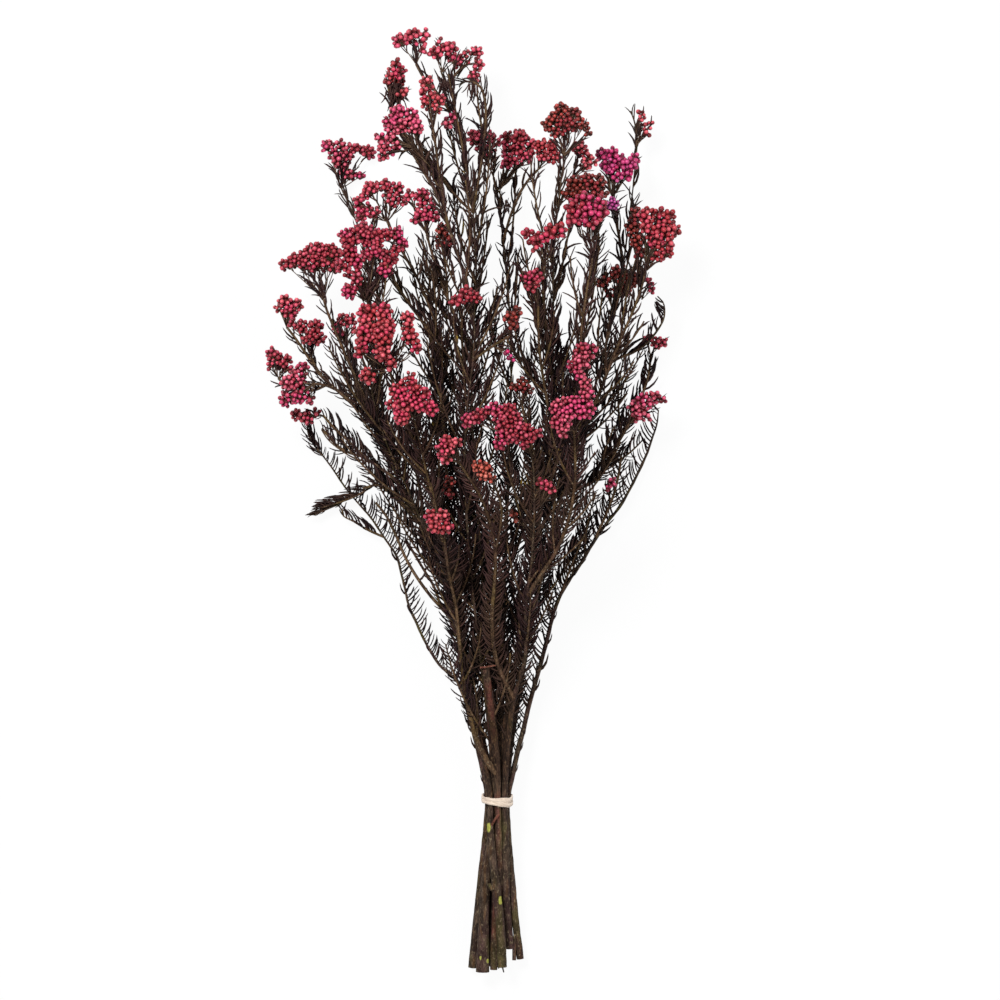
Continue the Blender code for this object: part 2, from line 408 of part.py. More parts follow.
def tube(route, radii, sides):
    """A round rod with closed ends along a route in millimetres."""
    places = [Vector(place) for place in route]
    rod = bmesh.new()
    rims = []
    side = (places[1] - places[0]).orthogonal().normalized()
    for i, (place, radius) in enumerate(zip(places, radii)):
        before = places[max(i - 1, 0)]
        after = places[min(i + 1, len(places) - 1)]
        way = (after - before).normalized()
        side = (side - way * side.dot(way)).normalized()
        across = way.cross(side)
        rim = []
        for k in range(sides):
            turn = math.tau * k / sides
            out = side * math.cos(turn) + across * math.sin(turn)
            rim.append(rod.verts.new((place + out * radius) * MM))
        rims.append(rim)
    for low, high in zip(rims, rims[1:]):
        for k in range(sides):
            after = (k + 1) % sides
            rod.faces.new((low[k], low[after], high[after], high[k]))
    rod.faces.new(rims[0])
    rod.faces.new(rims[-1])
    return mesh_from(rod, "rod")


def fused(body, parts, kept=1.0):
    """The Boolean union of one mesh and a list of meshes that reach into it, as one mesh."""
    whole = bpy.data.objects.new("whole", body)
    bpy.context.collection.objects.link(whole)
    helpers = []
    for part in parts:
        helper = bpy.data.objects.new("helper", part)
        bpy.context.collection.objects.link(helper)
        helper.hide_render = True
        helper.display_type = "WIRE"
        helpers.append(helper)
        union = whole.modifiers.new("grown_on", "BOOLEAN")
        union.operation = "UNION"
        union.solver = "EXACT"
        union.object = helper
    if kept < 1.0:
        thinned = whole.modifiers.new("seams_thinned", "DECIMATE")
        thinned.ratio = kept
    evaluated = whole.evaluated_get(bpy.context.evaluated_depsgraph_get())
    mesh = bpy.data.meshes.new_from_object(evaluated)
    for thing in [whole, *helpers]:
        spent = thing.data
        bpy.data.objects.remove(thing)
        bpy.data.meshes.remove(spent)
    return mesh


def lengths_along(route):
    """How far along the route each of its points lies."""
    total = [0.0]
    for start, end in zip(route, route[1:]):
        total.append(total[-1] + (Vector(end) - Vector(start)).length)
    return total


def tapered(route, first, last):
    """Radii that run evenly from first to last along the route."""
    along = lengths_along(route)
    return [first + (last - first) * far / along[-1] for far in along]


def stem_radii(name):
    """A stem thins from its cut end to the tie, and from the tie to its tip."""
    cut, grip, tip, route = STEMS[name]
    at_tie = next(i for i, place in enumerate(route) if place[1] == TIE_Y)
    below = tapered(route[:at_tie + 1], cut, grip)
    above = tapered(route[at_tie:], grip, tip)
    return below + above[1:]


def branch_route(name):
    """A branch's whole route: it starts on the middle line of what it grows on."""
    parent, index, _, places = BRANCHES[name]
    return [route_of(parent)[index], *places]


def route_of(name):
    return STEMS[name][3] if name in STEMS else branch_route(name)


def stem_below(name):
    """The stem that a branch, or a branch of a branch, belongs to."""
    while name in BRANCHES:
        name = BRANCHES[name][0]
    return name


def make_stem(name):
    """One stem with every branch that grows on it, as one solid."""
    trunk = tube(STEMS[name][3], stem_radii(name), TRUNK_SIDES)
    limbs = []
    for branch, (_, _, radius, _) in BRANCHES.items():
        if stem_below(branch) == name:
            route = branch_route(branch)
            limbs.append(tube(route, tapered(route, radius, TWIG_TIP_RADIUS), BRANCH_SIDES))
    return add_object(name, fused(trunk, limbs), bark())


def twig_end(name):
    """A twig's last point and the way it points there, both in millimetres."""
    last, tip = (Vector(place) for place in route_of(name)[-2:])
    return tip, (tip - last).normalized()


def stalk_fan(foot, way, lobes):
    """The fan of flower stalks, as one hull from its foot to the middle of every lobe."""
    fan = bmesh.new()
    for place in ring(foot, way, TWIG_TIP_RADIUS, 5):
        fan.verts.new(place * MM)
    for x, y, z, radius in lobes:
        middle = Vector((x, y, z))
        out = (middle - foot).normalized()
        for place in ring(middle - out * radius * 0.5, out, radius * 0.4, 3):
            fan.verts.new(place * MM)
    bmesh.ops.convex_hull(fan, input=fan.verts)
    loose = [vert for vert in fan.verts if not vert.link_faces]
    bmesh.ops.delete(fan, geom=loose, context="VERTS")
    return mesh_from(fan, "fan")


def lobe_ball(x, y, z, radius):
    """One round lobe of packed buds."""
    ball = bmesh.new()
    bmesh.ops.create_icosphere(ball, subdivisions=1, radius=radius * MM)
    bmesh.ops.translate(ball, vec=Vector((x, y, z)) * MM, verts=ball.verts)
    return mesh_from(ball, "lobe")


def make_head(name):
    """A flower head: a fan of stalks with a round lobe of buds on each."""
    twig, tone, lobes = HEADS[name]
    tip, way = twig_end(twig)
    fan = stalk_fan(tip + way * SEAT_GAP, way, lobes)
    body = fused(fan, [lobe_ball(*lobe) for lobe in lobes], HEAD_FACES_KEPT)
    return add_object(name, body, petals(tone))


def point_along(route, far):
    """The place and the direction at a distance along a route."""
    along = lengths_along(route)
    for start, end, near, beyond in zip(route, route[1:], along, along[1:]):
        if far <= beyond or end is route[-1]:
            share = (far - near) / (beyond - near)
            way = (Vector(end) - Vector(start)).normalized()
            return Vector(start).lerp(Vector(end), share), way
    return None


def needle(foot, way, turn):
    """One needle leaf: a slim three-sided spike that leans towards the twig's tip."""
    side = way.orthogonal().normalized()
    out = side * math.cos(turn) + way.cross(side) * math.sin(turn)
    aim = (out + way * NEEDLE_LEAN).normalized()
    spike = bmesh.new()
    base = [spike.verts.new(place * MM) for place in ring(foot, aim, NEEDLE_RADIUS, 3)]
    tip = spike.verts.new((foot + aim * NEEDLE_LENGTH) * MM)
    spike.faces.new(base)
    for one, other in zip(base, base[1:] + base[:1]):
        spike.faces.new((one, other, tip))
    return mesh_from(spike, "needle")


def make_shoot(name):
    """The leafy end of a twig: its wood with needle leaves all round."""
    twig, places = SHOOTS[name]
    tip, way = twig_end(twig)
    route = [tip + way * SEAT_GAP, *(Vector(place) for place in places)]
    wood = tube(route, tapered(route, TWIG_TIP_RADIUS, 0.5), BRANCH_SIDES)
    length = lengths_along(route)[-1]
    count = int(length / NEEDLE_PITCH)
    needles = []
    for i in range(1, count):
        foot, forward = point_along(route, i * NEEDLE_PITCH)
        needles.append(needle(foot, forward, i * GOLDEN_ANGLE))
    return add_object(name, fused(wood, needles), leaf())


def make_tie():
    """Two loops of cotton cord side by side, as one turned ring round the stems."""
    inner = TIE_INNER_RADIUS
    outer = inner + TIE_THICKNESS
    half = TIE_STRAND / 2
    profile = [(inner, -2 * half), (outer - 0.4, -2 * half), (outer, -half), (outer - 0.5, 0.0),
               (outer, half), (outer - 0.4, 2 * half), (inner, 2 * half)]
    band = bmesh.new()
    centre = Vector((TIE_CENTRE[0], TIE_Y, TIE_CENTRE[1])) * MM
    corners = [band.verts.new(centre + Vector((radius, along, 0.0)) * MM)
               for radius, along in profile]
    edges = [band.edges.new(pair) for pair in zip(corners, corners[1:] + corners[:1])]
    bmesh.ops.spin(band, geom=corners + edges, cent=centre, axis=(0, 1, 0), angle=math.tau,
                   steps=TIE_SIDES, use_merge=True)
    bmesh.ops.remove_doubles(band, verts=band.verts, dist=0.00001)
    return add_object("cotton_tie", mesh_from(band, "cotton_tie"), cotton())


def main():
    clear_scene()
    for name in STEMS:
        make_stem(name)
    make_tie()
    for name in HEADS:
        make_head(name)
    for name in SHOOTS:
        make_shoot(name)


main()
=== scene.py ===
# %% [markdown]
# # A bunch of preserved rice flower
# Rice flower is a shrub that is cut by the branch. Each woody stem forks into thin twigs, every
# twig is clothed in soft needle leaves, and carries a flat cluster of round buds. Preserving it
# in dyed glycerine turns the leaves nearly black and the buds crimson. The bunch lies on a table
# and is seen from above. The first cell loads the solid model, which is the frame for the rest.

# %% Load the solid model
import math
import bpy
import numpy as np
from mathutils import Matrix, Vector


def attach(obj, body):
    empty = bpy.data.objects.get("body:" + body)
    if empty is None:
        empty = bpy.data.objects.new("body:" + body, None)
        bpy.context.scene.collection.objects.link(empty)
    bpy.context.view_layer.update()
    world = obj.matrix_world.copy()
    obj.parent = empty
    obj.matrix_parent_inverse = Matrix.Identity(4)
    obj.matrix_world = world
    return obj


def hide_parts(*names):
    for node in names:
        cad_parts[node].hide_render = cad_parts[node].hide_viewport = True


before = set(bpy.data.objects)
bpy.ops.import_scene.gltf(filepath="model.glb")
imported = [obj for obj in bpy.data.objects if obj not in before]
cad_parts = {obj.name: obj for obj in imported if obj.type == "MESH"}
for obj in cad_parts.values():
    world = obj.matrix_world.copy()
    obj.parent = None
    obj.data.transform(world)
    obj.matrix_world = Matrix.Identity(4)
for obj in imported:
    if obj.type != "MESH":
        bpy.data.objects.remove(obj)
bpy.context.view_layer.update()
MM = 0.001

# %% [markdown]
# ## Camera
# A long lens far above the table sees the bunch as flat as a pressed plant. A short lens nearby
# would make the raised middle of the bunch look larger than its edges. Sizes here are in metres.

# %% Camera over the table
LENS = 300.0
SENSOR = 36.0
VIEW_WIDTH = 0.633
VIEW_CENTRE = (0.018, 0.0006)
SHARP_HEIGHT = 0.045
FARTHEST_SEEN = 50.0


def add_camera():
    """A camera that looks straight down, with +Y up the picture."""
    eye = bpy.data.cameras.new("camera")
    eye.lens = LENS
    eye.sensor_width = SENSOR
    eye.clip_end = FARTHEST_SEEN
    rise = VIEW_WIDTH * LENS / SENSOR
    holder = bpy.data.objects.new("camera", eye)
    holder.location = (*VIEW_CENTRE, SHARP_HEIGHT + rise)
    bpy.context.collection.objects.link(holder)
    bpy.context.scene.camera = holder
    return rise


bpy.context.scene.view_settings.view_transform = "Standard"
print("camera height, m:", round(add_camera(), 3))

# %% [markdown]
# ## Table and light
# The table is pale and lit by one large soft lamp, with a small one and the sky filling in. The
# camera sees the table as almost white, because part of its white is a glow that only the camera
# sees, while the light that reaches the bunch stays at a plain level. Two helpers come first:
# they give a shader node its values and its links, and every finish further down uses them.

# %% Helpers for shader nodes
def set_inputs(tree, node, inputs):
    """Give a node its inputs: each is a socket to follow, or a plain value."""
    for place, value in inputs.items():
        if isinstance(value, bpy.types.NodeSocket):
            tree.links.new(value, node.inputs[place])
        else:
            node.inputs[place].default_value = value


def add_node(tree, kind, inputs, **settings):
    """A new shader node with its settings and its inputs."""
    node = tree.nodes.new("ShaderNode" + kind)
    for name, value in settings.items():
        setattr(node, name, value)
    set_inputs(tree, node, inputs)
    return node


def new_material(name, roughness, specular=0.5):
    """A material, its node tree and its shader."""
    made = bpy.data.materials.new(name)
    made.use_nodes = True
    shader = made.node_tree.nodes["Principled BSDF"]
    set_inputs(made.node_tree, shader, {"Roughness": roughness, "Specular IOR Level": specular})
    return made, made.node_tree, shader


# %% Table
TABLE_SIZE = 14.0
TABLE_GREY = (0.70, 0.70, 0.70, 1)
WHITE = (1, 1, 1, 1)
GLOW_SHARE = 0.945


def table_material():
    """Pale matt table that the camera sees as almost white, with the bunch's own soft shadow."""
    made, tree, shader = new_material("pale_table", 0.9, 0.1)
    set_inputs(tree, shader, {"Base Color": TABLE_GREY})
    glow = add_node(tree, "Emission", {"Color": WHITE})
    rays = add_node(tree, "LightPath", {})
    share = add_node(tree, "Math", {0: rays.outputs["Is Camera Ray"], 1: GLOW_SHARE},
                     operation="MULTIPLY")
    both = add_node(tree, "MixShader", {0: share.outputs[0], 1: shader.outputs[0],
                                        2: glow.outputs[0]})
    set_inputs(tree, tree.nodes["Material Output"], {"Surface": both.outputs[0]})
    return made


def add_table():
    """A plain square table top at Z = 0."""
    bpy.ops.object.select_all(action="DESELECT")
    bpy.ops.mesh.primitive_plane_add(size=TABLE_SIZE, location=(0, 0, 0))
    table = bpy.context.object
    table.name = "table"
    table.data.materials.append(table_material())
    return table


print("table, m:", round(add_table().dimensions.x, 2))

# %% Lamps and sky
# Each lamp: its place, its size and its watts
LAMPS = {"overhead_lamp": ((-0.8, 1.1, 2.4), 0.8, 96), "side_lamp": ((1.5, -0.5, 1.8), 1.2, 26)}
SKY_STRENGTH = 0.31


def add_lamp(name, place, size, watts):
    """A square soft lamp at place, turned to face the middle of the table."""
    lamp = bpy.data.lights.new(name, "AREA")
    lamp.size = size
    lamp.energy = watts
    holder = bpy.data.objects.new(name, lamp)
    holder.location = place
    holder.rotation_euler = (-Vector(place)).to_track_quat("-Z", "Y").to_euler()
    bpy.context.collection.objects.link(holder)


def add_sky(strength):
    """A plain sky that lights the bunch at the given strength, and looks white to the camera."""
    world = bpy.data.worlds.new("studio")
    bpy.context.scene.world = world
    world.use_nodes = True
    tree = world.node_tree
    sky = tree.nodes["Background"]
    set_inputs(tree, sky, {"Color": WHITE, "Strength": strength})
    white = add_node(tree, "Background", {"Color": WHITE, "Strength": 1.0})
    rays = add_node(tree, "LightPath", {})
    both = add_node(tree, "MixShader", {0: rays.outputs["Is Camera Ray"], 1: sky.outputs[0],
                                        2: white.outputs[0]})
    set_inputs(tree, tree.nodes["World Output"], {"Surface": both.outputs[0]})


for name, row in LAMPS.items():
    add_lamp(name, *row)
add_sky(SKY_STRENGTH)
print("lamps:", list(LAMPS))

# %% [markdown]
# ## The plan of the bunch
# The solids were laid out from one plan in millimetres, and the same plan is repeated here, so
# that bark, leaves and buds go exactly where the solids are. A stem has its radius at the cut end,
# at the tie and at its tip, and its route. A branch names what it grows on and at which point.
# In each place, x runs across the bunch, y along it towards the flowers, and z up from the table.

# %% Stems
TIE_Y = -190.0
TIE_CENTRE = (16.2, 22.0)
TWIG_TIP_RADIUS = 0.8
# Each stem: its radius at the cut end, at the tie and at its tip, and its route
STEMS = {
    "stem_01": (1.9, 1.65, 0.8, [
        (14, -290, 8.4), (14.6, -255, 13), (15.8, -228, 16.4), (16.4, -206, 18.6),
        (16.5, -190, 19.9), (16.5, -165, 22), (15, -140, 25), (12, -110, 29), (9, -80, 33),
        (7, -50, 38), (5, -20, 43), (3, 10, 48), (1, 40, 54), (0, 70, 60), (0, 95, 65),
        (2, 120, 69), (3, 145, 71), (2, 165, 72), (1, 182, 71), (-1, 198, 69), (-4, 213, 66),
        (-8, 232, 61), (-12, 248, 56), (-16, 262, 51), (-19, 271, 48)]),
    "stem_02": (1.9, 2.2, 2.4, [
        (14, -298.5, 13.2), (15, -270, 16), (17, -246, 19.6), (17.3, -226, 23.2),
        (17, -208, 26.6), (16.5, -190, 28.3), (16.4, -174, 29.5), (15, -155, 33), (13, -138, 37),
        (11, -122, 41), (9, -106, 46)]),
    "stem_03": (2.6, 2.0, 0.8, [
        (19.4, -296.5, 20.6), (18.4, -272, 23), (16, -250, 25.6), (13.3, -226, 27.2),
        (11.9, -207, 27.2), (12, -190, 26.5), (9.8, -174, 27), (7.3, -160, 27.8), (4.6, -145, 29),
        (1.5, -130, 30.5), (-1, -116, 32.5), (-5, -98, 36), (-10, -78, 41), (-16, -58, 47),
        (-22, -40, 53), (-29, -20, 60), (-37, 0, 68), (-46, 20, 76), (-54, 38, 84), (-60, 58, 91),
        (-64, 78, 97), (-65, 98, 102), (-64, 114, 105.5), (-65, 124, 107.5)]),
    "stem_04": (2.2, 2.0, 0.8, [
        (24.2, -285, 13.4), (23, -268, 15.4), (21.8, -250, 18.6), (21.7, -226, 22.6),
        (21.2, -206, 25.3), (21, -190, 26.5), (21.6, -172, 28.3), (22.8, -156, 30.5),
        (24.5, -140, 33.5), (26.8, -125, 37), (30.5, -112, 42), (34, -98, 48.5), (34, -80, 58),
        (35, -60, 70), (37.5, -40, 81), (39, -20, 92), (39.5, 0, 103), (39, 18, 114),
        (37, 30, 122), (33.5, 38, 131)]),
    "stem_05": (1.9, 1.9, 0.8, [
        (30.9, -291.8, 9), (28.3, -272, 12), (26, -248, 15.2), (24, -226, 18.4),
        (22.9, -206, 20.9), (22.6, -190, 22), (26, -174, 20.5), (29.5, -158, 19),
        (33, -145, 17.5), (36, -132, 16.2), (39.5, -119, 15), (43, -107, 14), (46, -96, 13),
        (49, -84, 12.3), (52.5, -70, 11.5), (57, -59, 11), (63, -49, 10.5), (70, -39, 10),
        (77, -27, 9.5), (86, -14, 9), (94, -4, 8.5), (101, 8, 8), (107, 20, 8), (112, 31, 8)]),
    "stem_06": (2.3, 2.2, 0.8, [
        (19, -293, 2.5), (19.6, -262, 6.6), (20.3, -232, 11.4), (20.8, -208, 15.2),
        (20.95, -190, 17.5), (23.5, -165, 14.5), (27, -140, 12.5), (32, -112, 12.5),
        (37, -85, 13.5), (43, -55, 15.5), (50, -25, 18), (58, 5, 21), (66, 32, 23.5),
        (74, 58, 25.5), (81, 82, 27), (87, 105, 28), (92, 127, 28), (96, 148, 27), (99, 170, 26),
        (101.5, 190, 25), (103.5, 208, 24), (104.5, 222, 23)]),
    "stem_07": (2.5, 2.2, 0.8, [
        (7.6, -294, 2.7), (8.8, -262, 6.6), (10.4, -232, 11.4), (11.5, -208, 15.2),
        (12.15, -190, 17.7), (9.5, -165, 14.5), (4, -140, 12.5), (-3, -110, 12.5), (-10, -82, 14),
        (-17, -54, 17), (-25, -32, 21), (-33, -14, 25), (-42, 3, 28), (-50, 22, 30),
        (-57, 45, 31), (-61, 70, 32), (-63, 95, 32), (-64, 120, 31), (-66, 145, 28),
        (-70, 168, 23), (-77, 186, 17), (-83, 199, 12)]),
    "stem_08": (2.3, 2.1, 0.8, [
        (0.4, -297.5, 7), (2.9, -272, 10), (5.4, -248, 13.2), (7.8, -226, 17), (9.4, -206, 20.2),
        (10.2, -190, 22), (7.8, -174, 20.8), (4.4, -160, 19.8), (0.8, -147, 18.9),
        (-2.6, -134, 18), (-6, -120, 17.5), (-12, -112, 16.5), (-20, -105, 15.5), (-26, -96, 15),
        (-31, -87, 14), (-35.5, -77, 13), (-40, -67, 12), (-42.5, -56, 11.5), (-45, -46, 11),
        (-48, -35, 10.5), (-56, -23, 10), (-64, -11, 9.5), (-71, -3, 9), (-77, 4, 8.5),
        (-83, 12, 8), (-89, 21, 8), (-95, 29, 8)]),
    "stem_09": (2.4, 2.2, 0.8, [
        (13.4, -297, 2.6), (14, -262, 5.8), (15.2, -232, 9.8), (16, -208, 13.5),
        (16.5, -190, 15.7), (17.5, -165, 12.5), (18.5, -140, 10.5), (19.5, -110, 10.5),
        (20.5, -80, 11.5), (21, -50, 13), (22, -20, 15), (23, 10, 17), (24, 40, 19), (25, 70, 21),
        (25, 95, 22), (24, 120, 23), (22, 145, 23), (20, 165, 23), (18.5, 182, 22),
        (18, 198, 20)]),
    "stem_10": (3.9, 1.65, 0.8, [
        (6.9, -299.8, 14.6), (7.6, -272, 17.2), (8.6, -246, 20), (10.8, -224, 22),
        (13.6, -205, 22.9), (14.7, -190, 23.05), (13.4, -172, 25.8), (11.8, -150, 29),
        (9.5, -128, 33.5), (7, -108, 39), (4, -85, 46), (1, -60, 54), (-1, -35, 62),
        (-3, -10, 69), (-4, 15, 75.5), (-4, 40, 82), (-2, 65, 88), (1, 88, 93), (2, 108, 96),
        (-1, 126, 98.5), (-5, 141, 100), (-9, 156, 101), (-14, 170, 101), (-19, 184, 100.5),
        (-25, 198, 100), (-30, 211, 99), (-34, 221, 98.5)]),
    "stem_11": (2.0, 1.65, 0.8, [
        (19.2, -294, 9.4), (19.4, -272, 11.6), (19.9, -250, 14.2), (19.8, -226, 18),
        (19.2, -206, 21.6), (18.3, -190, 23.05), (19, -170, 24.8), (20.5, -148, 27),
        (23.5, -125, 30.5), (27.5, -102, 35), (32, -78, 40), (36.5, -52, 45.5), (41, -25, 51),
        (45, 0, 57), (48, 25, 62.5), (50, 50, 67.5), (51, 75, 72), (51.5, 100, 76),
        (51.5, 125, 79), (51.5, 148, 81), (52.5, 168, 82), (54.5, 185, 81.5), (56.5, 202, 80.5),
        (58.5, 217, 79.5)]),
}
print("stems:", len(STEMS))

# %% Branches
# Each branch: what it grows on, at which point of that route, its radius there, and its route
BRANCHES = {
    "hooked_top": ("stem_01", 18, 1.0, [
        (4, 200, 70), (7, 218, 68), (9, 240, 64), (8.5, 252, 61), (6, 261, 59), (1, 264.5, 57)]),
    "crossing_twig": ("stem_01", 18, 0.9, [
        (-6, 188, 77), (-13, 196, 81), (-20, 206, 84), (-26, 215, 86), (-31, 222, 87)]),
    "top_left": ("stem_01", 21, 0.9, [
        (-14, 246, 62), (-22, 258, 61), (-30, 267, 57), (-35, 276, 54)]),
    "top_right": ("stem_01", 23, 0.8, [(-9, 271, 50), (-4, 276, 49)]),
    "upper_left": ("stem_01", 14, 1.1, [
        (-8, 112, 72), (-16, 130, 79), (-22, 147, 84), (-26, 160, 87), (-28, 168, 88)]),
    "middle_front": ("stem_01", 13, 1.0, [(-4, 86, 76), (-6, 102, 89), (-6, 114, 99)]),
    "left_arm": ("stem_02", 6, 2.0, [
        (11, -167, 32), (6, -158, 34.5), (2, -148, 37), (-1, -136, 39.5), (-4, -122, 42),
        (-6.5, -105, 46), (-8, -85, 51), (-10, -65, 58), (-14, -45, 66), (-19, -22, 77),
        (-24, 0, 88), (-29, 22, 100), (-33, 40, 113), (-36, 52, 125)]),
    "low_front": ("left_arm", 8, 1.0, [
        (-13, -52, 72), (-15, -40, 86), (-16, -31, 97), (-17, -24, 105)]),
    "front_left": ("left_arm", 11, 1.2, [
        (-31, 22, 94), (-38, 42, 101), (-44, 59, 107), (-48, 72, 113), (-51, 81, 122)]),
    "inner_left": ("left_arm", 7, 1.5, [
        (-12, -55, 53), (-14, -25, 56), (-15, 5, 59), (-17, 35, 62), (-19, 65, 65), (-20, 90, 68),
        (-21, 105, 69), (-26, 121, 70), (-33, 138, 70), (-40, 151, 70), (-47, 163, 70),
        (-53, 176, 70)]),
    "inner_left_twig": ("inner_left", 6, 0.9, [
        (-27, 106, 75), (-34, 117, 79), (-41, 127, 82), (-47, 136, 85), (-51, 144, 87)]),
    "cut_fork": ("stem_03", 3, 1.1, [(13.6, -246.5, 28.2), (10.9, -243, 29.2)]),
    "cut_twig": ("stem_03", 4, 0.8, [(14.1, -203.5, 30.2), (17, -199, 32)]),
    "second_left": ("stem_03", 12, 1.1, [
        (-19, -68, 38), (-27, -59, 36), (-35, -48, 33), (-42, -36, 30), (-48, -22, 27),
        (-54, -10, 24), (-61, -1, 22)]),
    "third_left": ("second_left", 1, 0.9, [
        (-24, -54, 41), (-30, -44, 42), (-36, -34, 42), (-42, -24, 41)]),
    "outer_left": ("stem_03", 17, 1.3, [
        (-55, 37, 75), (-65, 51, 72), (-75, 61, 69), (-85, 70, 65), (-95, 79, 60), (-102, 89, 55),
        (-108, 98, 51), (-113, 105, 47), (-117, 110, 45)]),
    "outer_left_inside": ("outer_left", 5, 0.9, [(-99, 86, 63), (-101, 91, 67)]),
    "outer_left_side": ("outer_left", 4, 0.9, [(-92, 73, 60), (-99, 74, 55)]),
    "outer_left_low": ("outer_left_side", 1, 0.9, [
        (-100, 70, 46), (-110, 70, 34), (-118, 73, 22), (-123, 78, 12)]),
    "umbrella_stalk": ("stem_03", 18, 1.1, [
        (-64, 58, 84), (-73, 78, 82), (-81, 96, 79), (-87, 110, 75), (-91, 120, 72),
        (-93, 127, 70)]),
    "low_left": ("stem_03", 15, 1.2, [
        (-39, 0, 56), (-49, 14, 51), (-58, 21, 46), (-68, 28, 41), (-78, 38, 37), (-87, 46, 34),
        (-94, 54, 32)]),
    "low_left_twig": ("low_left", 4, 0.9, [
        (-76, 30, 37), (-84, 34, 34), (-90, 40, 32), (-95, 46, 30)]),
    "plume": ("stem_04", 9, 1.4, [
        (22, -116, 42), (17.5, -106, 47), (14, -92, 55), (13, -72, 66), (14.5, -52, 78),
        (15, -32, 90), (12, -14, 100), (6, 2, 110), (-1, 14, 118), (-7, 23, 125)]),
    "plume_side": ("plume", 6, 0.9, [
        (18, -18, 101), (19, -6, 111), (17, 4, 119), (14.5, 9.5, 125)]),
    "front_right": ("stem_04", 13, 1.3, [
        (44, -46, 80), (53, -32, 90), (60, -15, 101), (64, 4, 111), (65, 22, 118),
        (64.5, 35, 123), (64, 44, 131)]),
    "cut_sliver": ("stem_05", 1, 0.8, [(27.2, -282, 13), (27, -292.5, 12.5)]),
    "outer_right_twig": ("stem_05", 18, 0.9, [
        (84, -12, 12.5), (90, 3, 15.5), (93.5, 17, 18), (95, 29, 19.5)]),
    "right_arc": ("stem_06", 11, 1.3, [
        (68, 8, 19), (78, 13, 17), (86, 22, 15), (92, 36, 13), (98, 48, 11.5), (104, 59, 10),
        (109.5, 70, 8.5), (113, 82, 7), (114, 93, 5.5)]),
    "right_front": ("right_arc", 2, 0.9, [
        (84, 22, 23), (90, 32, 30), (96, 42, 36), (100, 49, 40)]),
    "right_low": ("stem_06", 15, 0.9, [(88, 115, 24), (89.5, 122, 20)]),
    "right_magenta": ("stem_06", 17, 1.0, [(94, 165, 32), (91, 180, 37), (89, 192, 40)]),
    "right_curl": ("stem_06", 14, 1.0, [(92, 90, 28), (102, 94, 29), (110, 99, 29.5)]),
    "left_low_leaves": ("stem_07", 11, 1.0, [
        (-43, -4, 25), (-52, 5, 23), (-60, 10, 21), (-69, 8, 19)]),
    "left_behind": ("stem_07", 13, 1.1, [
        (-61, 45, 40), (-70, 66, 48), (-76, 84, 53), (-79, 98, 56)]),
    "far_left_side": ("stem_08", 23, 0.8, [(-81, 1, 9), (-85, -2, 9.5)]),
    "far_left_low": ("stem_08", 20, 0.8, [(-63, -20, 8.8), (-69, -17, 8.5)]),
    "centre_low": ("stem_09", 18, 0.9, [(16, 196, 17), (14, 206, 12)]),
    "centre_right": ("stem_09", 17, 0.9, [
        (25, 182, 27), (31, 196, 29), (37, 205, 30), (42, 210, 31)]),
    "table_left": ("stem_09", 8, 1.1, [
        (8, -45, 10), (-4, -5, 9), (-14, 35, 8.5), (-22, 75, 8.5), (-27, 105, 9)]),
    "table_right": ("stem_09", 9, 1.1, [(34, -15, 11), (45, 25, 9.5), (52, 60, 9), (56, 95, 9)]),
    "top_front": ("stem_10", 22, 0.9, [
        (-17, 186, 99), (-20, 204, 96), (-22, 220, 92), (-24, 233, 88)]),
    "top_brown": ("stem_10", 24, 0.9, [
        (-33, 212, 89), (-42, 226, 82), (-49, 238, 78), (-51, 246, 75)]),
    "centre_front": ("stem_10", 17, 0.9, [(9, 94, 101), (17, 99, 108), (24, 103, 112)]),
    "right_main": ("stem_11", 13, 1.2, [
        (53, 22, 66), (60, 45, 75), (65, 68, 83), (68, 92, 89), (70, 115, 94), (73, 135, 97),
        (76, 152, 99)]),
    "right_dark": ("right_main", 5, 0.9, [(75, 135, 88), (79, 152, 84), (80, 168, 82)]),
    "right_front_low": ("right_main", 2, 0.9, [(66, 56, 88), (70, 66, 98), (72, 75, 105)]),
    "middle_right": ("stem_11", 16, 1.0, [
        (48, 95, 83), (46, 115, 92), (45, 133, 101), (46, 147, 107)]),
    "middle_right_low": ("stem_11", 15, 1.0, [
        (46, 72, 79), (43, 92, 90), (42, 110, 99), (42, 122, 104)]),
    "top_right_side": ("stem_11", 21, 0.9, [(59, 194, 75), (63, 202, 69)]),
    "far_right": ("stem_11", 12, 1.3, [
        (50, -3, 52), (58, 18, 52), (68, 40, 53), (78, 62, 54), (87, 84, 55), (95, 104, 56),
        (102, 120, 57), (107, 134, 57), (110, 145, 57)]),
    "centre_behind": ("stem_11", 13, 0.9, [
        (42, 18, 66), (38, 35, 72), (34, 50, 76), (32, 60, 79)]),
}
print("branches:", len(BRANCHES))

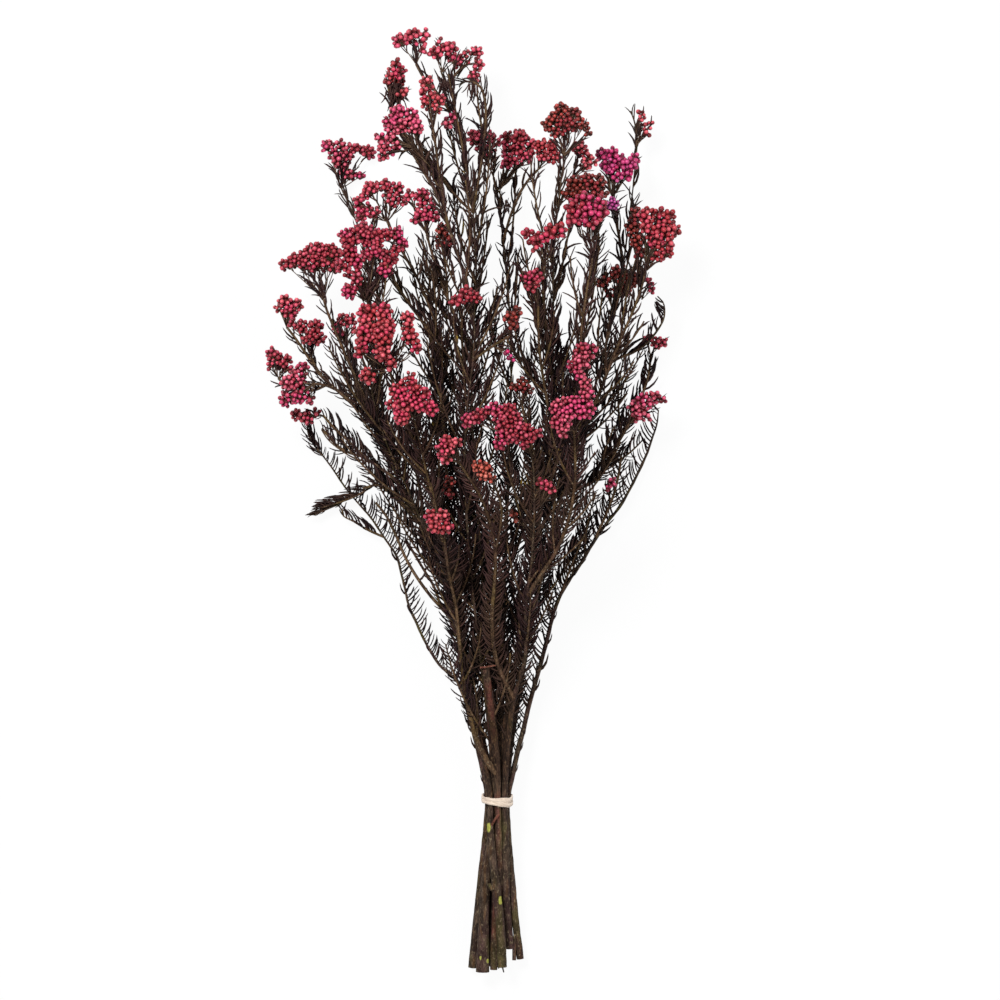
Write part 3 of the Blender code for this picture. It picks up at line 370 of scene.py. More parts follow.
# %% Flower heads and leafy ends
# Each flower head: the twig that carries it, its tone, and its round lobes as (x, y, z, radius)
HEADS = {
    "flower_head_01": ("top_left", "crimson", [
        (-45, 290, 52, 5.5), (-37, 294, 50, 5.2), (-30, 295.5, 49, 4.5), (-31, 285, 51, 3.2)]),
    "flower_head_02": ("stem_01", "crimson", [
        (-23, 283, 48, 5), (-14, 286, 46, 5.5), (-10, 279, 45, 5.2), (-20, 291, 47, 3.4)]),
    "flower_head_03": ("top_right", "crimson", [
        (3, 284, 46, 4.5), (4, 276, 46, 4), (1, 269, 46, 4.5)]),
    "flower_head_04": ("top_brown", "russet", [
        (-48, 275, 66, 3.6), (-47, 266, 67, 5.2), (-45, 257, 69, 4.6)]),
    "flower_head_05": ("top_front", "coral", [
        (-28, 263, 84, 5), (-29, 256, 84, 4.4), (-20, 252, 84, 4.5), (-28, 249, 83, 4.4),
        (-22, 246, 83, 4)]),
    "flower_head_06": ("stem_10", "rose", [
        (-46, 243, 98, 5.5), (-37, 242, 99, 5.2), (-45, 235, 99, 5.5), (-35, 234, 100, 6),
        (-52, 238, 96, 4), (-57, 228, 91, 4.2), (-50, 228, 92, 4.6), (-46, 223, 93, 4),
        (-55, 217, 90, 4.6)]),
    "flower_head_07": ("stem_07", "rose", [
        (-92, 226, 8, 5), (-84, 227, 7.5, 4.6), (-83, 217, 7, 6.5), (-80, 208, 7, 5),
        (-75, 224, 7, 4.2), (-66, 222, 6.5, 5.2), (-71, 207, 7, 3.4)]),
    "flower_head_08": ("inner_left", "crimson", [
        (-64, 196, 70, 5.6), (-55, 199, 70, 4.6), (-47, 197, 70, 4.8), (-50, 189, 70, 5),
        (-71, 188, 71, 4.4), (-69, 180, 72, 5), (-61, 182, 72, 4.2), (-43, 188, 70, 3.2)]),
    "flower_head_09": ("upper_left", "crimson", [
        (-39, 192, 88, 4), (-31, 192, 89, 5), (-26, 187, 89, 4.6), (-31, 180, 90, 5.2),
        (-23, 178, 89, 4.2), (-35, 176, 89, 3.4)]),
    "flower_head_10": ("stem_03", "rose", [
        (-78, 165, 113, 5.6), (-68, 168, 115, 6.5), (-58, 166, 115, 5.4), (-46, 167, 112, 4.6),
        (-43, 161, 111, 4), (-60, 157, 117, 6), (-76, 157, 115, 5.2), (-80, 147, 114, 5.2),
        (-71, 150, 117, 4.6), (-50, 152, 114, 5), (-54, 144, 113, 5.2), (-76, 131, 117, 5.6),
        (-72, 138, 117, 4.4)]),
    "flower_head_11": ("umbrella_stalk", "crimson", [
        (-117, 149, 62, 4.8), (-112, 153, 62, 4.2), (-105, 151, 63, 6), (-98, 157, 63, 7),
        (-89, 156, 63, 7), (-97, 149, 64, 6), (-86, 148, 63, 5.5)]),
    "flower_head_12": ("outer_left", "coral", [
        (-118, 126, 42, 5.2), (-122, 122, 42, 3.6), (-111, 124, 42, 4.6), (-115, 118, 43, 4.4)]),
    "flower_head_13": ("outer_left_inside", "crimson", [
        (-112, 112, 74, 4), (-106, 110, 75, 4.6), (-98, 110, 76, 5.2), (-103, 103, 76, 5.2),
        (-96, 102, 76, 4.8)]),
    "flower_head_14": ("left_behind", "crimson", [
        (-81, 115, 58, 4.2), (-76, 116, 58, 3.4), (-87, 112, 57, 3.4), (-84, 106, 58, 3.6),
        (-74, 108, 58, 3)]),
    "flower_head_15": ("outer_left_low", "crimson", [
        (-127, 93, 5.3, 5), (-127.5, 87, 6.3, 3.8), (-119, 89, 5.3, 5), (-117.5, 84, 6.3, 4)]),
    "flower_head_16": ("outer_left_side", "rose", [
        (-107, 84, 51, 4.8), (-116, 75, 50, 5.2), (-108, 74, 51, 4.6), (-117, 64, 49, 5.2),
        (-109, 66, 50, 5.2), (-102, 65, 50, 4)]),
    "flower_head_17": ("low_left", "coral", [
        (-111, 55, 30, 4.4), (-104, 53, 30, 5), (-99, 56, 31, 3.4)]),
    "flower_head_18": ("front_left", "coral", [
        (-66, 117, 131, 5.6), (-54, 118, 132, 5.6), (-40, 114, 129, 4.8), (-66, 105, 133, 6.4),
        (-54, 106, 136, 7), (-38, 102, 132, 5.6), (-69, 93, 129, 4.8), (-55, 93, 135, 6),
        (-34, 95, 129, 4.2), (-50, 85, 132, 4.2), (-64, 78, 128, 5.6)]),
    "flower_head_19": ("left_arm", "coral", [
        (-38, 77, 138, 4), (-46, 68, 139, 5.2), (-36, 70, 141, 5.6), (-29, 67, 140, 4.4),
        (-48, 60, 138, 4.8), (-41, 60, 142, 5.2), (-32, 60, 141, 4.8), (-43, 52, 139, 5.2),
        (-24.5, 57, 138, 4.6)]),
    "flower_head_20": ("middle_front", "crimson", [
        (-8.5, 125, 107, 5), (-3, 130, 108, 4.6), (3, 127, 107, 3.8)]),
    "flower_head_21": ("centre_low", "crimson", [
        (2, 232, 5.9, 5.6), (11, 232, 5.4, 5), (16, 228, 5.9, 4.2), (9, 221, 6, 4)]),
    "flower_head_22": ("stem_09", "crimson", [
        (23, 231, 20, 4.8), (30, 231, 21, 6), (37, 226, 21, 5.2), (22, 223, 21, 4.4),
        (29, 222, 22, 5.2), (35, 218, 22, 4.8), (23, 214, 22, 4.6)]),
    "flower_head_23": ("stem_11", "russet", [
        (56, 246, 77, 5.4), (64, 243, 77, 5.2), (51, 240, 78, 5), (60, 237, 79, 6),
        (47.5, 236, 77, 4), (54, 232, 79, 5), (71, 236, 76, 3.6), (74, 231, 75, 3)]),
    "flower_head_24": ("centre_right", "coral", [
        (44, 225, 30, 5.2), (50, 225, 30, 5), (46, 218, 31, 5), (53, 218, 30, 4.6)]),
    "flower_head_25": ("top_right_side", "coral", [
        (68, 223, 62, 5), (73, 216, 61, 4.2), (77, 214, 60, 3.4), (71, 211, 62, 3.6)]),
    "flower_head_26": ("right_magenta", "magenta", [
        (83, 219, 43, 4.8), (89, 220, 44, 4.6), (86, 212, 44, 4.8), (94, 213, 45, 4.8),
        (100, 213, 45, 5), (104, 217, 44, 3.8), (92, 205, 45, 4.2), (98, 205, 45, 4.2)]),
    "flower_head_27": ("right_dark", "russet", [
        (64, 200, 81, 4.8), (72, 201, 82, 5.2), (80, 201, 82, 4.8), (61, 193, 81, 4),
        (69, 193, 83, 6), (82, 194, 81, 4.2)]),
    "flower_head_28": ("right_main", "rose", [
        (71, 188, 104, 5.6), (80, 187, 103, 4.8), (64, 184, 104, 5.2), (72, 180, 106, 6.2),
        (82, 180, 103, 4.8), (64, 176, 104, 5.2), (75, 174, 105, 4.8)]),
    "flower_head_29": ("middle_right", "coral", [
        (56, 169, 114, 4.8), (49, 168, 115, 5.2), (43, 164, 115, 4.8), (35, 167, 112, 3.8),
        (40, 159, 113, 3.6)]),
    "flower_head_30": ("far_right", "coral", [
        (110, 181, 56, 5), (118, 181, 56, 5), (125, 180, 56, 4.2), (112, 173, 57, 5.6),
        (121, 172, 57, 6), (128.5, 171, 55, 4.4), (116, 164, 57, 5.4), (124, 163, 56, 4.8),
        (117, 155, 56, 4.6), (124, 157, 55, 4.2)]),
    "flower_head_31": ("right_low", "russet", [
        (83, 139, 17, 4.4), (94, 145, 15, 6), (101, 141, 15, 6), (96, 134, 15, 5.4),
        (88, 132, 16, 4.2)]),
    "flower_head_32": ("middle_right_low", "crimson", [
        (34, 140, 109, 4.2), (41, 141, 109, 4.4), (38, 135, 110, 5)]),
    "flower_head_33": ("centre_front", "russet", [
        (28.5, 118, 119, 4), (23.5, 114.5, 119, 4.2), (26, 110, 120, 4.2)]),
    "flower_head_34": ("right_arc", "crimson", [
        (112, 103, 4.6, 4.2), (118, 101, 4.6, 4.4), (123, 102, 4.2, 3)]),
    "flower_head_35": ("right_front_low", "rose", [
        (69, 94, 113, 5.2), (76, 95, 111, 3.8), (69, 86, 114, 5.6), (63, 84, 112, 3.8),
        (67, 79, 113, 4)]),
    "flower_head_36": ("front_right", "rose", [
        (71, 73, 138, 4.4), (72, 65, 139, 5.2), (63, 60, 141, 6), (54, 58, 139, 5.6),
        (72, 56, 139, 5.6), (61, 52, 141, 4.6), (53, 49, 138, 4.4), (57, 43, 136, 4.4)]),
    "flower_head_37": ("right_front", "rose", [
        (110, 66, 43, 3.8), (116, 66, 42, 4.2), (121, 64, 41, 3.2), (102, 60, 44, 4.2),
        (108, 58, 44, 4.2), (104, 53, 43, 3.8), (111, 53, 43, 3.2)]),
    "flower_head_38": ("stem_04", "rose", [
        (-2, 50, 138, 4.8), (5, 53, 139, 4.8), (15, 57, 141, 4.8), (24, 55, 143, 6.2),
        (20, 47, 144, 5.6), (29, 48, 143, 5), (25, 41, 143, 5), (18, 36, 141, 4.8),
        (34, 42, 141, 4.6), (40, 42, 140, 4.4), (33, 35, 139, 3.6)]),
    "flower_head_39": ("centre_behind", "russet", [
        (27, 71, 83, 3.6), (32, 73, 83, 4.6), (36.5, 70, 82, 3.2)]),
    "flower_head_40": ("plume", "coral", [
        (-15, 37, 134, 4.6), (-9, 36, 134, 3.8), (-18.5, 32, 134, 4.2), (-16, 27, 133, 4.4)]),
    "flower_head_41": ("plume_side", "orange", [
        (4, 21.5, 133, 4.2), (8.5, 20.5, 134, 4.6), (8, 16.5, 134, 4.2), (13, 13.5, 132, 3.2)]),
    "flower_head_42": ("low_front", "coral", [
        (-25, -9, 113, 4.6), (-18, -9, 114, 4.6), (-23, -16, 114, 5), (-15, -17, 113, 4.2)]),
}

# Each leafy shoot: the twig that it ends, and its route from there
SHOOTS = {
    "leafy_shoot_far_left": ("stem_08", [(-100, 35, 8), (-104, 42, 8), (-105, 49, 8)]),
    "leafy_shoot_left": ("far_left_side", [(-92, -5, 9.5), (-100, -9, 9.5)]),
    "leafy_shoot_right": ("stem_05", [(115, 40, 8), (118, 49, 8), (119, 58, 8)]),
    "leafy_shoot_curled": ("right_curl", [
        (117, 107, 29.5), (122, 116, 29.5), (122, 125, 29), (118, 130, 28)]),
    "leafy_shoot_spire": ("stem_06", [(105, 232, 22), (103.5, 241, 22), (101, 248, 22)]),
    "leafy_shoot_hooked": ("hooked_top", [(-4, 265, 55), (-8, 262, 54)]),
}
print("flower heads:", len(HEADS), "leafy ends:", len(SHOOTS))

# %% Read the plan
PATH_STEP, FINE_STEP = 3.0, 1.5


def route_of(name):
    """A stem's points, or a branch's with the point that it grows from."""
    if name in STEMS:
        return STEMS[name][3]
    parent, index, _, places = BRANCHES[name]
    return [route_of(parent)[index], *places]


def stem_below(name):
    """The stem that a branch, or a branch of a branch, belongs to."""
    while name in BRANCHES:
        name = BRANCHES[name][0]
    return name


def lengths_along(route):
    """How far along the route each of its points lies."""
    steps = np.linalg.norm(np.diff(np.array(route, float), axis=0), axis=1)
    return np.concatenate([[0.0], np.cumsum(steps)])


def radii_of(name):
    """A twig's radius at each of its points: a stem thins to the tie and on to its tip."""
    route = route_of(name)
    far = lengths_along(route)
    if name in BRANCHES:
        return np.interp(far, [0, far[-1]], [BRANCHES[name][2], TWIG_TIP_RADIUS])
    cut, grip, tip, _ = STEMS[name]
    at_tie = next(i for i, place in enumerate(route) if place[1] == TIE_Y)
    return np.interp(far, [0, far[at_tie], far[-1]], [cut, grip, tip])


def smooth_route(route, step=PATH_STEP):
    """Even points on a smooth curve through the route's points, its directions and distances."""
    p = np.array(route, float)
    p = np.vstack([2 * p[0] - p[1], p, 2 * p[-1] - p[-2]])
    out = []
    for a, b, c, d in zip(p, p[1:], p[2:], p[3:]):
        count = max(2, int(np.linalg.norm(c - b) / FINE_STEP))
        t = np.linspace(0, 1, count, endpoint=False)[:, None]
        out.append(0.5 * (2 * b + (c - a) * t + (2 * a - 5 * b + 4 * c - d) * t ** 2
                          + (3 * b - a - 3 * c + d) * t ** 3))
    fine = np.vstack([*out, p[-2][None]])
    far = lengths_along(fine)
    even = np.linspace(0, far[-1], max(2, int(round(far[-1] / step)) + 1))
    places = np.stack([np.interp(even, far, fine[:, k]) for k in range(3)], axis=1)
    ways = np.gradient(places, axis=0)
    return places, ways / np.linalg.norm(ways, axis=1)[:, None], even


total = sum(lengths_along(route_of(name))[-1] for name in [*STEMS, *BRANCHES])
print("metres of twig:", round(total / 1000, 2))

# %% [markdown]
# ## Finishes
# Everything here is coloured by nodes. Hundreds of buds and thousands of leaves share a few
# materials, and a colour attribute on the mesh gives each one its own shade: red holds a random
# tone, green how far along its own shape a point lies, and blue how deep in the bunch it sits,
# which the finishes turn into painted shade.
# What several finishes need is one node group, mottle: soft patches, with a scale and a stretch.

# %% Shared effects
def mix_colours(tree, share, one, two, blend="MIX"):
    """A mix of two colours. The share and both ends may each be a socket or a plain value."""
    node = add_node(tree, "Mix", {0: share, 6: one, 7: two}, data_type="RGBA", blend_type=blend)
    return node.outputs[2]


def stepped(tree, value, stops):
    """A grey ramp from (position, brightness) stops."""
    ramp = add_node(tree, "ValToRGB", {0: value})
    while len(ramp.color_ramp.elements) < len(stops):
        ramp.color_ramp.elements.new(0.5)
    for element, (place, grey) in zip(ramp.color_ramp.elements, stops):
        element.position = place
        element.color = (grey, grey, grey, 1)
    return ramp.outputs[0]


# %% The mottle group
def new_group(name, inputs):
    """An empty shader group with named inputs that puts out a mask, and its two end nodes."""
    group = bpy.data.node_groups.new(name, "ShaderNodeTree")
    for label, kind, value in inputs:
        socket = group.interface.new_socket(label, in_out="INPUT", socket_type=kind)
        socket.default_value = value
    group.interface.new_socket("Mask", in_out="OUTPUT", socket_type="NodeSocketFloat")
    return group, group.nodes.new("NodeGroupInput"), group.nodes.new("NodeGroupOutput")


def mottle_group():
    """Soft patches on object coordinates, stretched along Y, as a mask from 0 to 1."""
    group, start, end = new_group("mottle", [("Scale", "NodeSocketFloat", 100.0),
                                             ("Stretch", "NodeSocketFloat", 1.0)])
    where = add_node(group, "TexCoord", {})
    squeeze = add_node(group, "CombineXYZ", {0: 1.0, 1: start.outputs["Stretch"], 2: 1.0})
    scaled = add_node(group, "VectorMath", {0: where.outputs["Object"], 1: squeeze.outputs[0]},
                      operation="MULTIPLY")
    noise = add_node(group, "TexNoise", {"Vector": scaled.outputs[0], "Detail": 5.0,
                                         "Scale": start.outputs["Scale"]})
    set_inputs(group, end, {"Mask": noise.outputs["Fac"]})
    return group


MOTTLE = mottle_group()
print("node groups:", [group.name for group in bpy.data.node_groups])


# %% Patches, shades and bumps
def mottle(tree, scale, stretch=1.0):
    """Soft patches; a stretch below 1 draws them out along the stems."""
    node = add_node(tree, "Group", {"Scale": scale, "Stretch": stretch}, node_tree=MOTTLE)
    return node.outputs["Mask"]


def patches(tree, scale, low, high, most=1, stretch=1.0):
    """Patches with an edge: nothing where the mottle is below low, and the most above high."""
    return stepped(tree, mottle(tree, scale, stretch), [(low, 0), (high, most)])


def shades(tree):
    """The mesh's own shades: a random tone, the place along the shape, and the depth for painted
    shade.
    """
    read = add_node(tree, "Attribute", {}, attribute_name="shade")
    split = add_node(tree, "SeparateColor", {0: read.outputs["Color"]})
    return split.outputs[0], split.outputs[1], split.outputs[2]


def bump(tree, shader, height, strength, distance):
    """Light the surface as if it were raised where the height is bright."""
    node = add_node(tree, "Bump", {"Strength": strength, "Distance": distance, "Height": height})
    set_inputs(tree, shader, {"Normal": node.outputs[0]})

# %% [markdown]
# ## Bark and cut wood
# The bark is brown and ridged along the stem, with patches that took up the dye, olive ones, rust,
# flecks and small pits. Each is a layer of patches at its own scale, laid over the last. Where a
# side twig was torn off, the wood shows as a pale green scar: an oval mask round a point. The cut
# ends are pale wood. Painted images would do the same, but nodes fit a stem of any shape.
# Most stems are also darkened by painted shade between the tie and the leaves.

# %% Scars
SCAR_SHAPE = (1.9, 1.0, 0.8)
SCAR_RAGGED = (900.0, 0.7)
SCAR_EDGE = (1.45, 1.15)
SCAR_DARK, SCAR_LIGHT = (0.15, 0.16, 0.02, 1), (0.46, 0.45, 0.10, 1)


def scar_group():
    """An oval patch round a point, as a mask. Its size is the half height along Y, in metres."""
    group, start, end = new_group("scar", [("Centre", "NodeSocketVector", (0, 0, 0)),
                                           ("Size", "NodeSocketFloat", 0.002)])
    where = add_node(group, "TexCoord", {}).outputs["Object"]
    away = add_node(group, "VectorMath", {0: where, 1: start.outputs["Centre"]},
                    operation="SUBTRACT")
    squeeze = add_node(group, "VectorMath", {0: away.outputs[0], 1: SCAR_SHAPE},
                       operation="MULTIPLY")
    length = add_node(group, "VectorMath", {0: squeeze.outputs[0]}, operation="LENGTH")
    share = add_node(group, "Math", {0: length.outputs["Value"], 1: start.outputs["Size"]},
                     operation="DIVIDE")
    scale, strength = SCAR_RAGGED
    ragged = add_node(group, "TexNoise", {"Vector": where, "Scale": scale})
    wobble = add_node(group, "Math", {0: ragged.outputs["Fac"], 1: strength, 2: share.outputs[0]},
                      operation="MULTIPLY_ADD")
    edge = add_node(group, "MapRange", {"Value": wobble.outputs[0], "From Min": SCAR_EDGE[0],
                                        "From Max": SCAR_EDGE[1]})
    set_inputs(group, end, {"Mask": edge.outputs["Result"]})
    return group


SCAR = scar_group()


def add_scar(tree, colour, centre, size):
    """The colour with a green scar of torn wood laid over it. Centre and size are in mm."""
    mask = add_node(tree, "Group", {"Centre": [value * MM for value in centre],
                                    "Size": size * MM}, node_tree=SCAR)
    green = mix_colours(tree, mottle(tree, 700), SCAR_DARK, SCAR_LIGHT)
    return mix_colours(tree, mask.outputs["Mask"], colour, green)


print("scar inputs:", [item.name for item in SCAR.interface.items_tree])

# %% Bark
OLIVE = (0.074, 0.062, 0.020, 1)
RUST, FLECK = (0.130, 0.068, 0.030, 1), (0.185, 0.140, 0.085, 1)
BLOTCH_SHADE, PIT_SHADE = (0.46, 0.43, 0.42, 1), (0.60, 0.57, 0.56, 1)
# Where the painted shade on the stems above the tie starts and ends (Y in metres), and how
# strong it is on the way
PAINTED_SHADE_SPAN = (-0.2, 0.0)
PAINTED_SHADE_STOPS = [(0.04, 0), (0.14, 1), (0.32, 1), (0.55, 0.1)]


def paint_shade_above_tie(tree, colour, shade):
    """The colour, darkened by painted shade between the tie and the leaves."""
    where = add_node(tree, "TexCoord", {}).outputs["Object"]
    place = add_node(tree, "SeparateXYZ", {0: where})
    above = add_node(tree, "MapRange", {"Value": place.outputs["Y"], "From Min": PAINTED_SHADE_SPAN[0],
                                        "From Max": PAINTED_SHADE_SPAN[1]})
    shaded = stepped(tree, above.outputs["Result"], PAINTED_SHADE_STOPS)
    return mix_colours(tree, shaded, colour, shade, "MULTIPLY")


def bark_material(name, dark, light, red, moss=OLIVE, scars=(), upper=None):
    """Brown bark with fine ridges along the stem, and layers of patches over them."""
    made, tree, shader = new_material(name, 0.8, 0.14)
    ridges = patches(tree, 1300, 0.34, 0.66, stretch=0.16)
    colour = mix_colours(tree, ridges, dark, light)
    # Each layer: its patches' scale, low, high, most and stretch; its colour; how it is laid on
    layers = [((60, 0.48, 0.60, 0.8, 0.35), red, "MIX"), ((90, 0.52, 0.62, 0.8, 0.3), moss, "MIX"),
              ((420, 0.56, 0.66, 0.75, 0.12), RUST, "MIX"),
              ((240, 0.40, 0.56, 1, 0.5), BLOTCH_SHADE, "MULTIPLY"),
              ((900, 0.58, 0.66, 0.75, 0.50), FLECK, "MIX"),
              ((1500, 0.44, 0.58, 1, 0.55), PIT_SHADE, "MULTIPLY")]
    for patch, tint, blend in layers:
        colour = mix_colours(tree, patches(tree, *patch), colour, tint, blend)
    # Painted shade: the stem is darkened between the tie and the leaves
    if upper:
        colour = paint_shade_above_tie(tree, colour, upper)
    for centre, size in scars:
        colour = add_scar(tree, colour, centre, size)
    set_inputs(tree, shader, {"Base Color": colour})
    bump(tree, shader, ridges, 0.7, 0.0005)
    return made


def cut_wood_material():
    """The pale, slightly green wood of a fresh cut, with a fine grain."""
    made, tree, shader = new_material("cut_wood", 0.8)
    grain = mottle(tree, 1200)
    colour = mix_colours(tree, grain, (0.16, 0.12, 0.05, 1), (0.36, 0.31, 0.14, 1))
    set_inputs(tree, shader, {"Base Color": colour})
    bump(tree, shader, grain, 0.4, 0.0002)
    return made


# %% The bark of each kind of twig
STEM_TONES = (0.030, 0.020, 0.014, 1), (0.125, 0.082, 0.054, 1)
TWIG_TONES = (0.056, 0.032, 0.018, 1), (0.180, 0.106, 0.054, 1)
STUB_TONES = (0.080, 0.030, 0.020, 1), (0.270, 0.095, 0.060, 1)
PURPLE_RED, BRIGHT_RED = (0.075, 0.036, 0.034, 1), (0.180, 0.058, 0.046, 1)
# The colour that paints shade on the stems between the tie and the leaves
PAINTED_SHADE_ABOVE_TIE = (0.60, 0.48, 0.42, 1)
BARK = bark_material("bark", *STEM_TONES, PURPLE_RED, upper=PAINTED_SHADE_ABOVE_TIE)
RED_BARK = bark_material("red_bark", *STEM_TONES, BRIGHT_RED, upper=PAINTED_SHADE_ABOVE_TIE)
SCARRED_BARK = bark_material("scarred_bark", *STEM_TONES, PURPLE_RED, scars=[
    ((10.6, -207.3, 29.6), 3.0), ((18.6, -253.6, 27.6), 2.9)], upper=PAINTED_SHADE_ABOVE_TIE)
NICKED_BARK = bark_material("nicked_bark", *STEM_TONES, PURPLE_RED, scars=[
    ((5.6, -290.6, 18.0), 1.5), ((10.2, -292.6, 17.6), 1.5)], upper=PAINTED_SHADE_ABOVE_TIE)
OUTER_BARK = bark_material("outer_bark", *STEM_TONES, PURPLE_RED)
TWIG_BARK = bark_material("twig_bark", *TWIG_TONES, (0.100, 0.050, 0.032, 1),
                          moss=(0.125, 0.080, 0.028, 1))
STUB_BARK = bark_material("stub_bark", *STUB_TONES, (0.240, 0.075, 0.055, 1),
                          moss=(0.190, 0.070, 0.040, 1))
CUT_WOOD = cut_wood_material()
print("bark nodes:", len(BARK.node_tree.nodes), "with scars:", len(SCARRED_BARK.node_tree.nodes))

# %% [markdown]
# ## Leaves, buds and cotton
# The glycerine left the needles nearly black, with brown ones among them and a few that kept some
# yellow. The buds are papery, with a dusty surface; painted shade darkens their bases and the
# deeper buds, so that the crowns look bright. The cord is unbleached cotton, whose fibres run
# along each strand. Leaves and buds read their shades from the mesh, so that one material serves
# them all without two of them looking the same.

# %% Leaves
LEAF_DARK, LEAF_BROWN = (0.0080, 0.0032, 0.0042, 1), (0.060, 0.0275, 0.0232, 1)
LEAF_OLIVE, LEAF_YELLOW = (0.052, 0.032, 0.018, 1), (0.230, 0.150, 0.022, 1)
# The second colour on the next line is the painted shade of needles deep in the pile
LEAF_TIP, LEAF_PAINTED_SHADE = (0.028, 0.013, 0.016, 1), (0.0026, 0.0009, 0.0013, 1)


def leaf_material():
    """Nearly black needles. The lightest are brown, a few patches olive, and deep ones painted
    black as shade.
    """
    made, tree, shader = new_material("needle_leaf", 0.6, 0.09)
    tone, along, painted_shade_depth = shades(tree)
    colour = mix_colours(tree, tone, LEAF_DARK, LEAF_BROWN)
    # The last layer is painted shade: needles deep in the pile turn nearly black
    layers = [(patches(tree, 24, 0.48, 0.64, 0.55), LEAF_OLIVE),
              (patches(tree, 75, 0.70, 0.74, 0.9), LEAF_YELLOW),
              (stepped(tree, along, [(0.55, 0), (1.0, 0.5)]), LEAF_TIP),
              (stepped(tree, painted_shade_depth, [(0.0, 0), (0.52, 0.95)]), LEAF_PAINTED_SHADE)]
    for mask, tint in layers:
        colour = mix_colours(tree, mask, colour, tint)
    set_inputs(tree, shader, {"Base Color": colour})
    return made


LEAF = leaf_material()
print("leaf nodes:", len(LEAF.node_tree.nodes))

# %% Buds and their stalks
# Each tone: the dark colour for painted shade at the base and on deeper buds and for the grain,
# the usual crown, the lightest crown, and a hue that some buds take
BUD_TONES = {
    "crimson": ((0.105, 0.012, 0.014), (0.41, 0.032, 0.053), (0.88, 0.114, 0.188),
                (0.56, 0.036, 0.120)),
    "rose": ((0.100, 0.008, 0.013), (0.365, 0.026, 0.043), (0.89, 0.152, 0.250),
             (0.72, 0.045, 0.190)),
    "coral": ((0.112, 0.010, 0.012), (0.42, 0.031, 0.041), (0.95, 0.172, 0.220),
              (0.66, 0.039, 0.125)),
    "magenta": ((0.145, 0.010, 0.036), (0.57, 0.015, 0.110), (0.66, 0.108, 0.330),
                (0.65, 0.034, 0.170)),
    "russet": ((0.046, 0.009, 0.006), (0.180, 0.017, 0.011), (0.52, 0.062, 0.052),
               (0.33, 0.021, 0.040)),
    "orange": ((0.105, 0.018, 0.010), (0.40, 0.050, 0.030), (0.84, 0.225, 0.170),
               (0.62, 0.058, 0.056)),
    "purple": ((0.100, 0.010, 0.050), (0.44, 0.034, 0.220), (0.74, 0.120, 0.440),
               (0.56, 0.048, 0.260)),
}
STALK_DARK, STALK_LIGHT = (0.045, 0.024, 0.014, 1), (0.130, 0.072, 0.032, 1)


def bud_material(name, tones):
    """Papery buds, each with its own tone; painted shade darkens each base and the deeper buds."""
    made, tree, shader = new_material("buds_" + name, 0.38, 0.29)
    dark, mid, light, other = ((*tone, 1) for tone in tones)
    tone, along, painted_shade_depth = shades(tree)
    grain = mottle(tree, 1500)
    colour = mix_colours(tree, tone, mid, light)
    # The second and third layers are painted shade: each bud's base and the deeper buds go dark
    layers = [(patches(tree, 60, 0.50, 0.60, 0.75), other),
              (stepped(tree, along, [(0.46, 1), (1.0, 0)]), dark), (painted_shade_depth, dark),
              (stepped(tree, grain, [(0.45, 0), (0.75, 0.45)]), dark)]
    for mask, tint in layers:
        colour = mix_colours(tree, mask, colour, tint)
    set_inputs(tree, shader, {"Base Color": colour})
    bump(tree, shader, grain, 0.3, 0.0003)
    return made


def stalk_material():
    """The thin green-brown stalks of the flowers."""
    made, tree, shader = new_material("flower_stalk", 0.7)
    colour = mix_colours(tree, mottle(tree, 300), STALK_DARK, STALK_LIGHT)
    set_inputs(tree, shader, {"Base Color": colour})
    return made


BUDS = {name: bud_material(name, tones) for name, tones in BUD_TONES.items()}
STALK = stalk_material()
print("bud tones:", list(BUDS))

# %% Cotton
COTTON_SHADED, COTTON_PALE = (0.42, 0.32, 0.24, 1), (0.70, 0.59, 0.49, 1)


def cotton_material():
    """Unbleached cotton: soft fibres that run along each strand, read from its own attribute."""
    made, tree, shader = new_material("cotton_cord", 0.95, 0.1)
    read = add_node(tree, "Attribute", {}, attribute_name="fibre")
    fibre = add_node(tree, "TexNoise", {"Vector": read.outputs["Vector"], "Scale": 5.0,
                                        "Detail": 4.0})
    lines = stepped(tree, fibre.outputs["Fac"], [(0.34, 0), (0.62, 1)])
    colour = mix_colours(tree, lines, COTTON_SHADED, COTTON_PALE)
    set_inputs(tree, shader, {"Base Color": colour, "Sheen Weight": 0.3})
    bump(tree, shader, lines, 0.5, 0.0003)
    return made


COTTON = cotton_material()
print("finishes:", len(bpy.data.materials))

# %% [markdown]
# ## One leaf and one bud, modelled
# The leaf is a three-sided spike, extruded in steps from a small triangle, each step turned a
# little so that it curves like the real needle. The bud is a ball pulled to a blunt tip. Both are
# kept tiny in faces, because each is copied thousands of times.

# %% Model the needle leaf
NEEDLE_HALF_WIDTH = 0.040
# Each step of the needle: its rise, its shift sideways, and how much it narrows
NEEDLE_STEPS = ((0.30, 0.030, 1.25), (0.34, 0.105, 1.0), (0.26, 0.145, 0.72), (0.10, 0.08, 0.08))
NEEDLE_BEND = sum(shift for _, shift, _ in NEEDLE_STEPS)


def take_shape(shape):
    """A modelled shape's points and triangles as arrays; the object itself is removed."""
    mesh = shape.data
    mesh.calc_loop_triangles()
    points = np.array([vert.co[:] for vert in mesh.vertices])
    corners = np.array(sorted(triangle.vertices[:] for triangle in mesh.loop_triangles))
    bpy.data.objects.remove(shape)
    bpy.data.meshes.remove(mesh)
    return points, corners


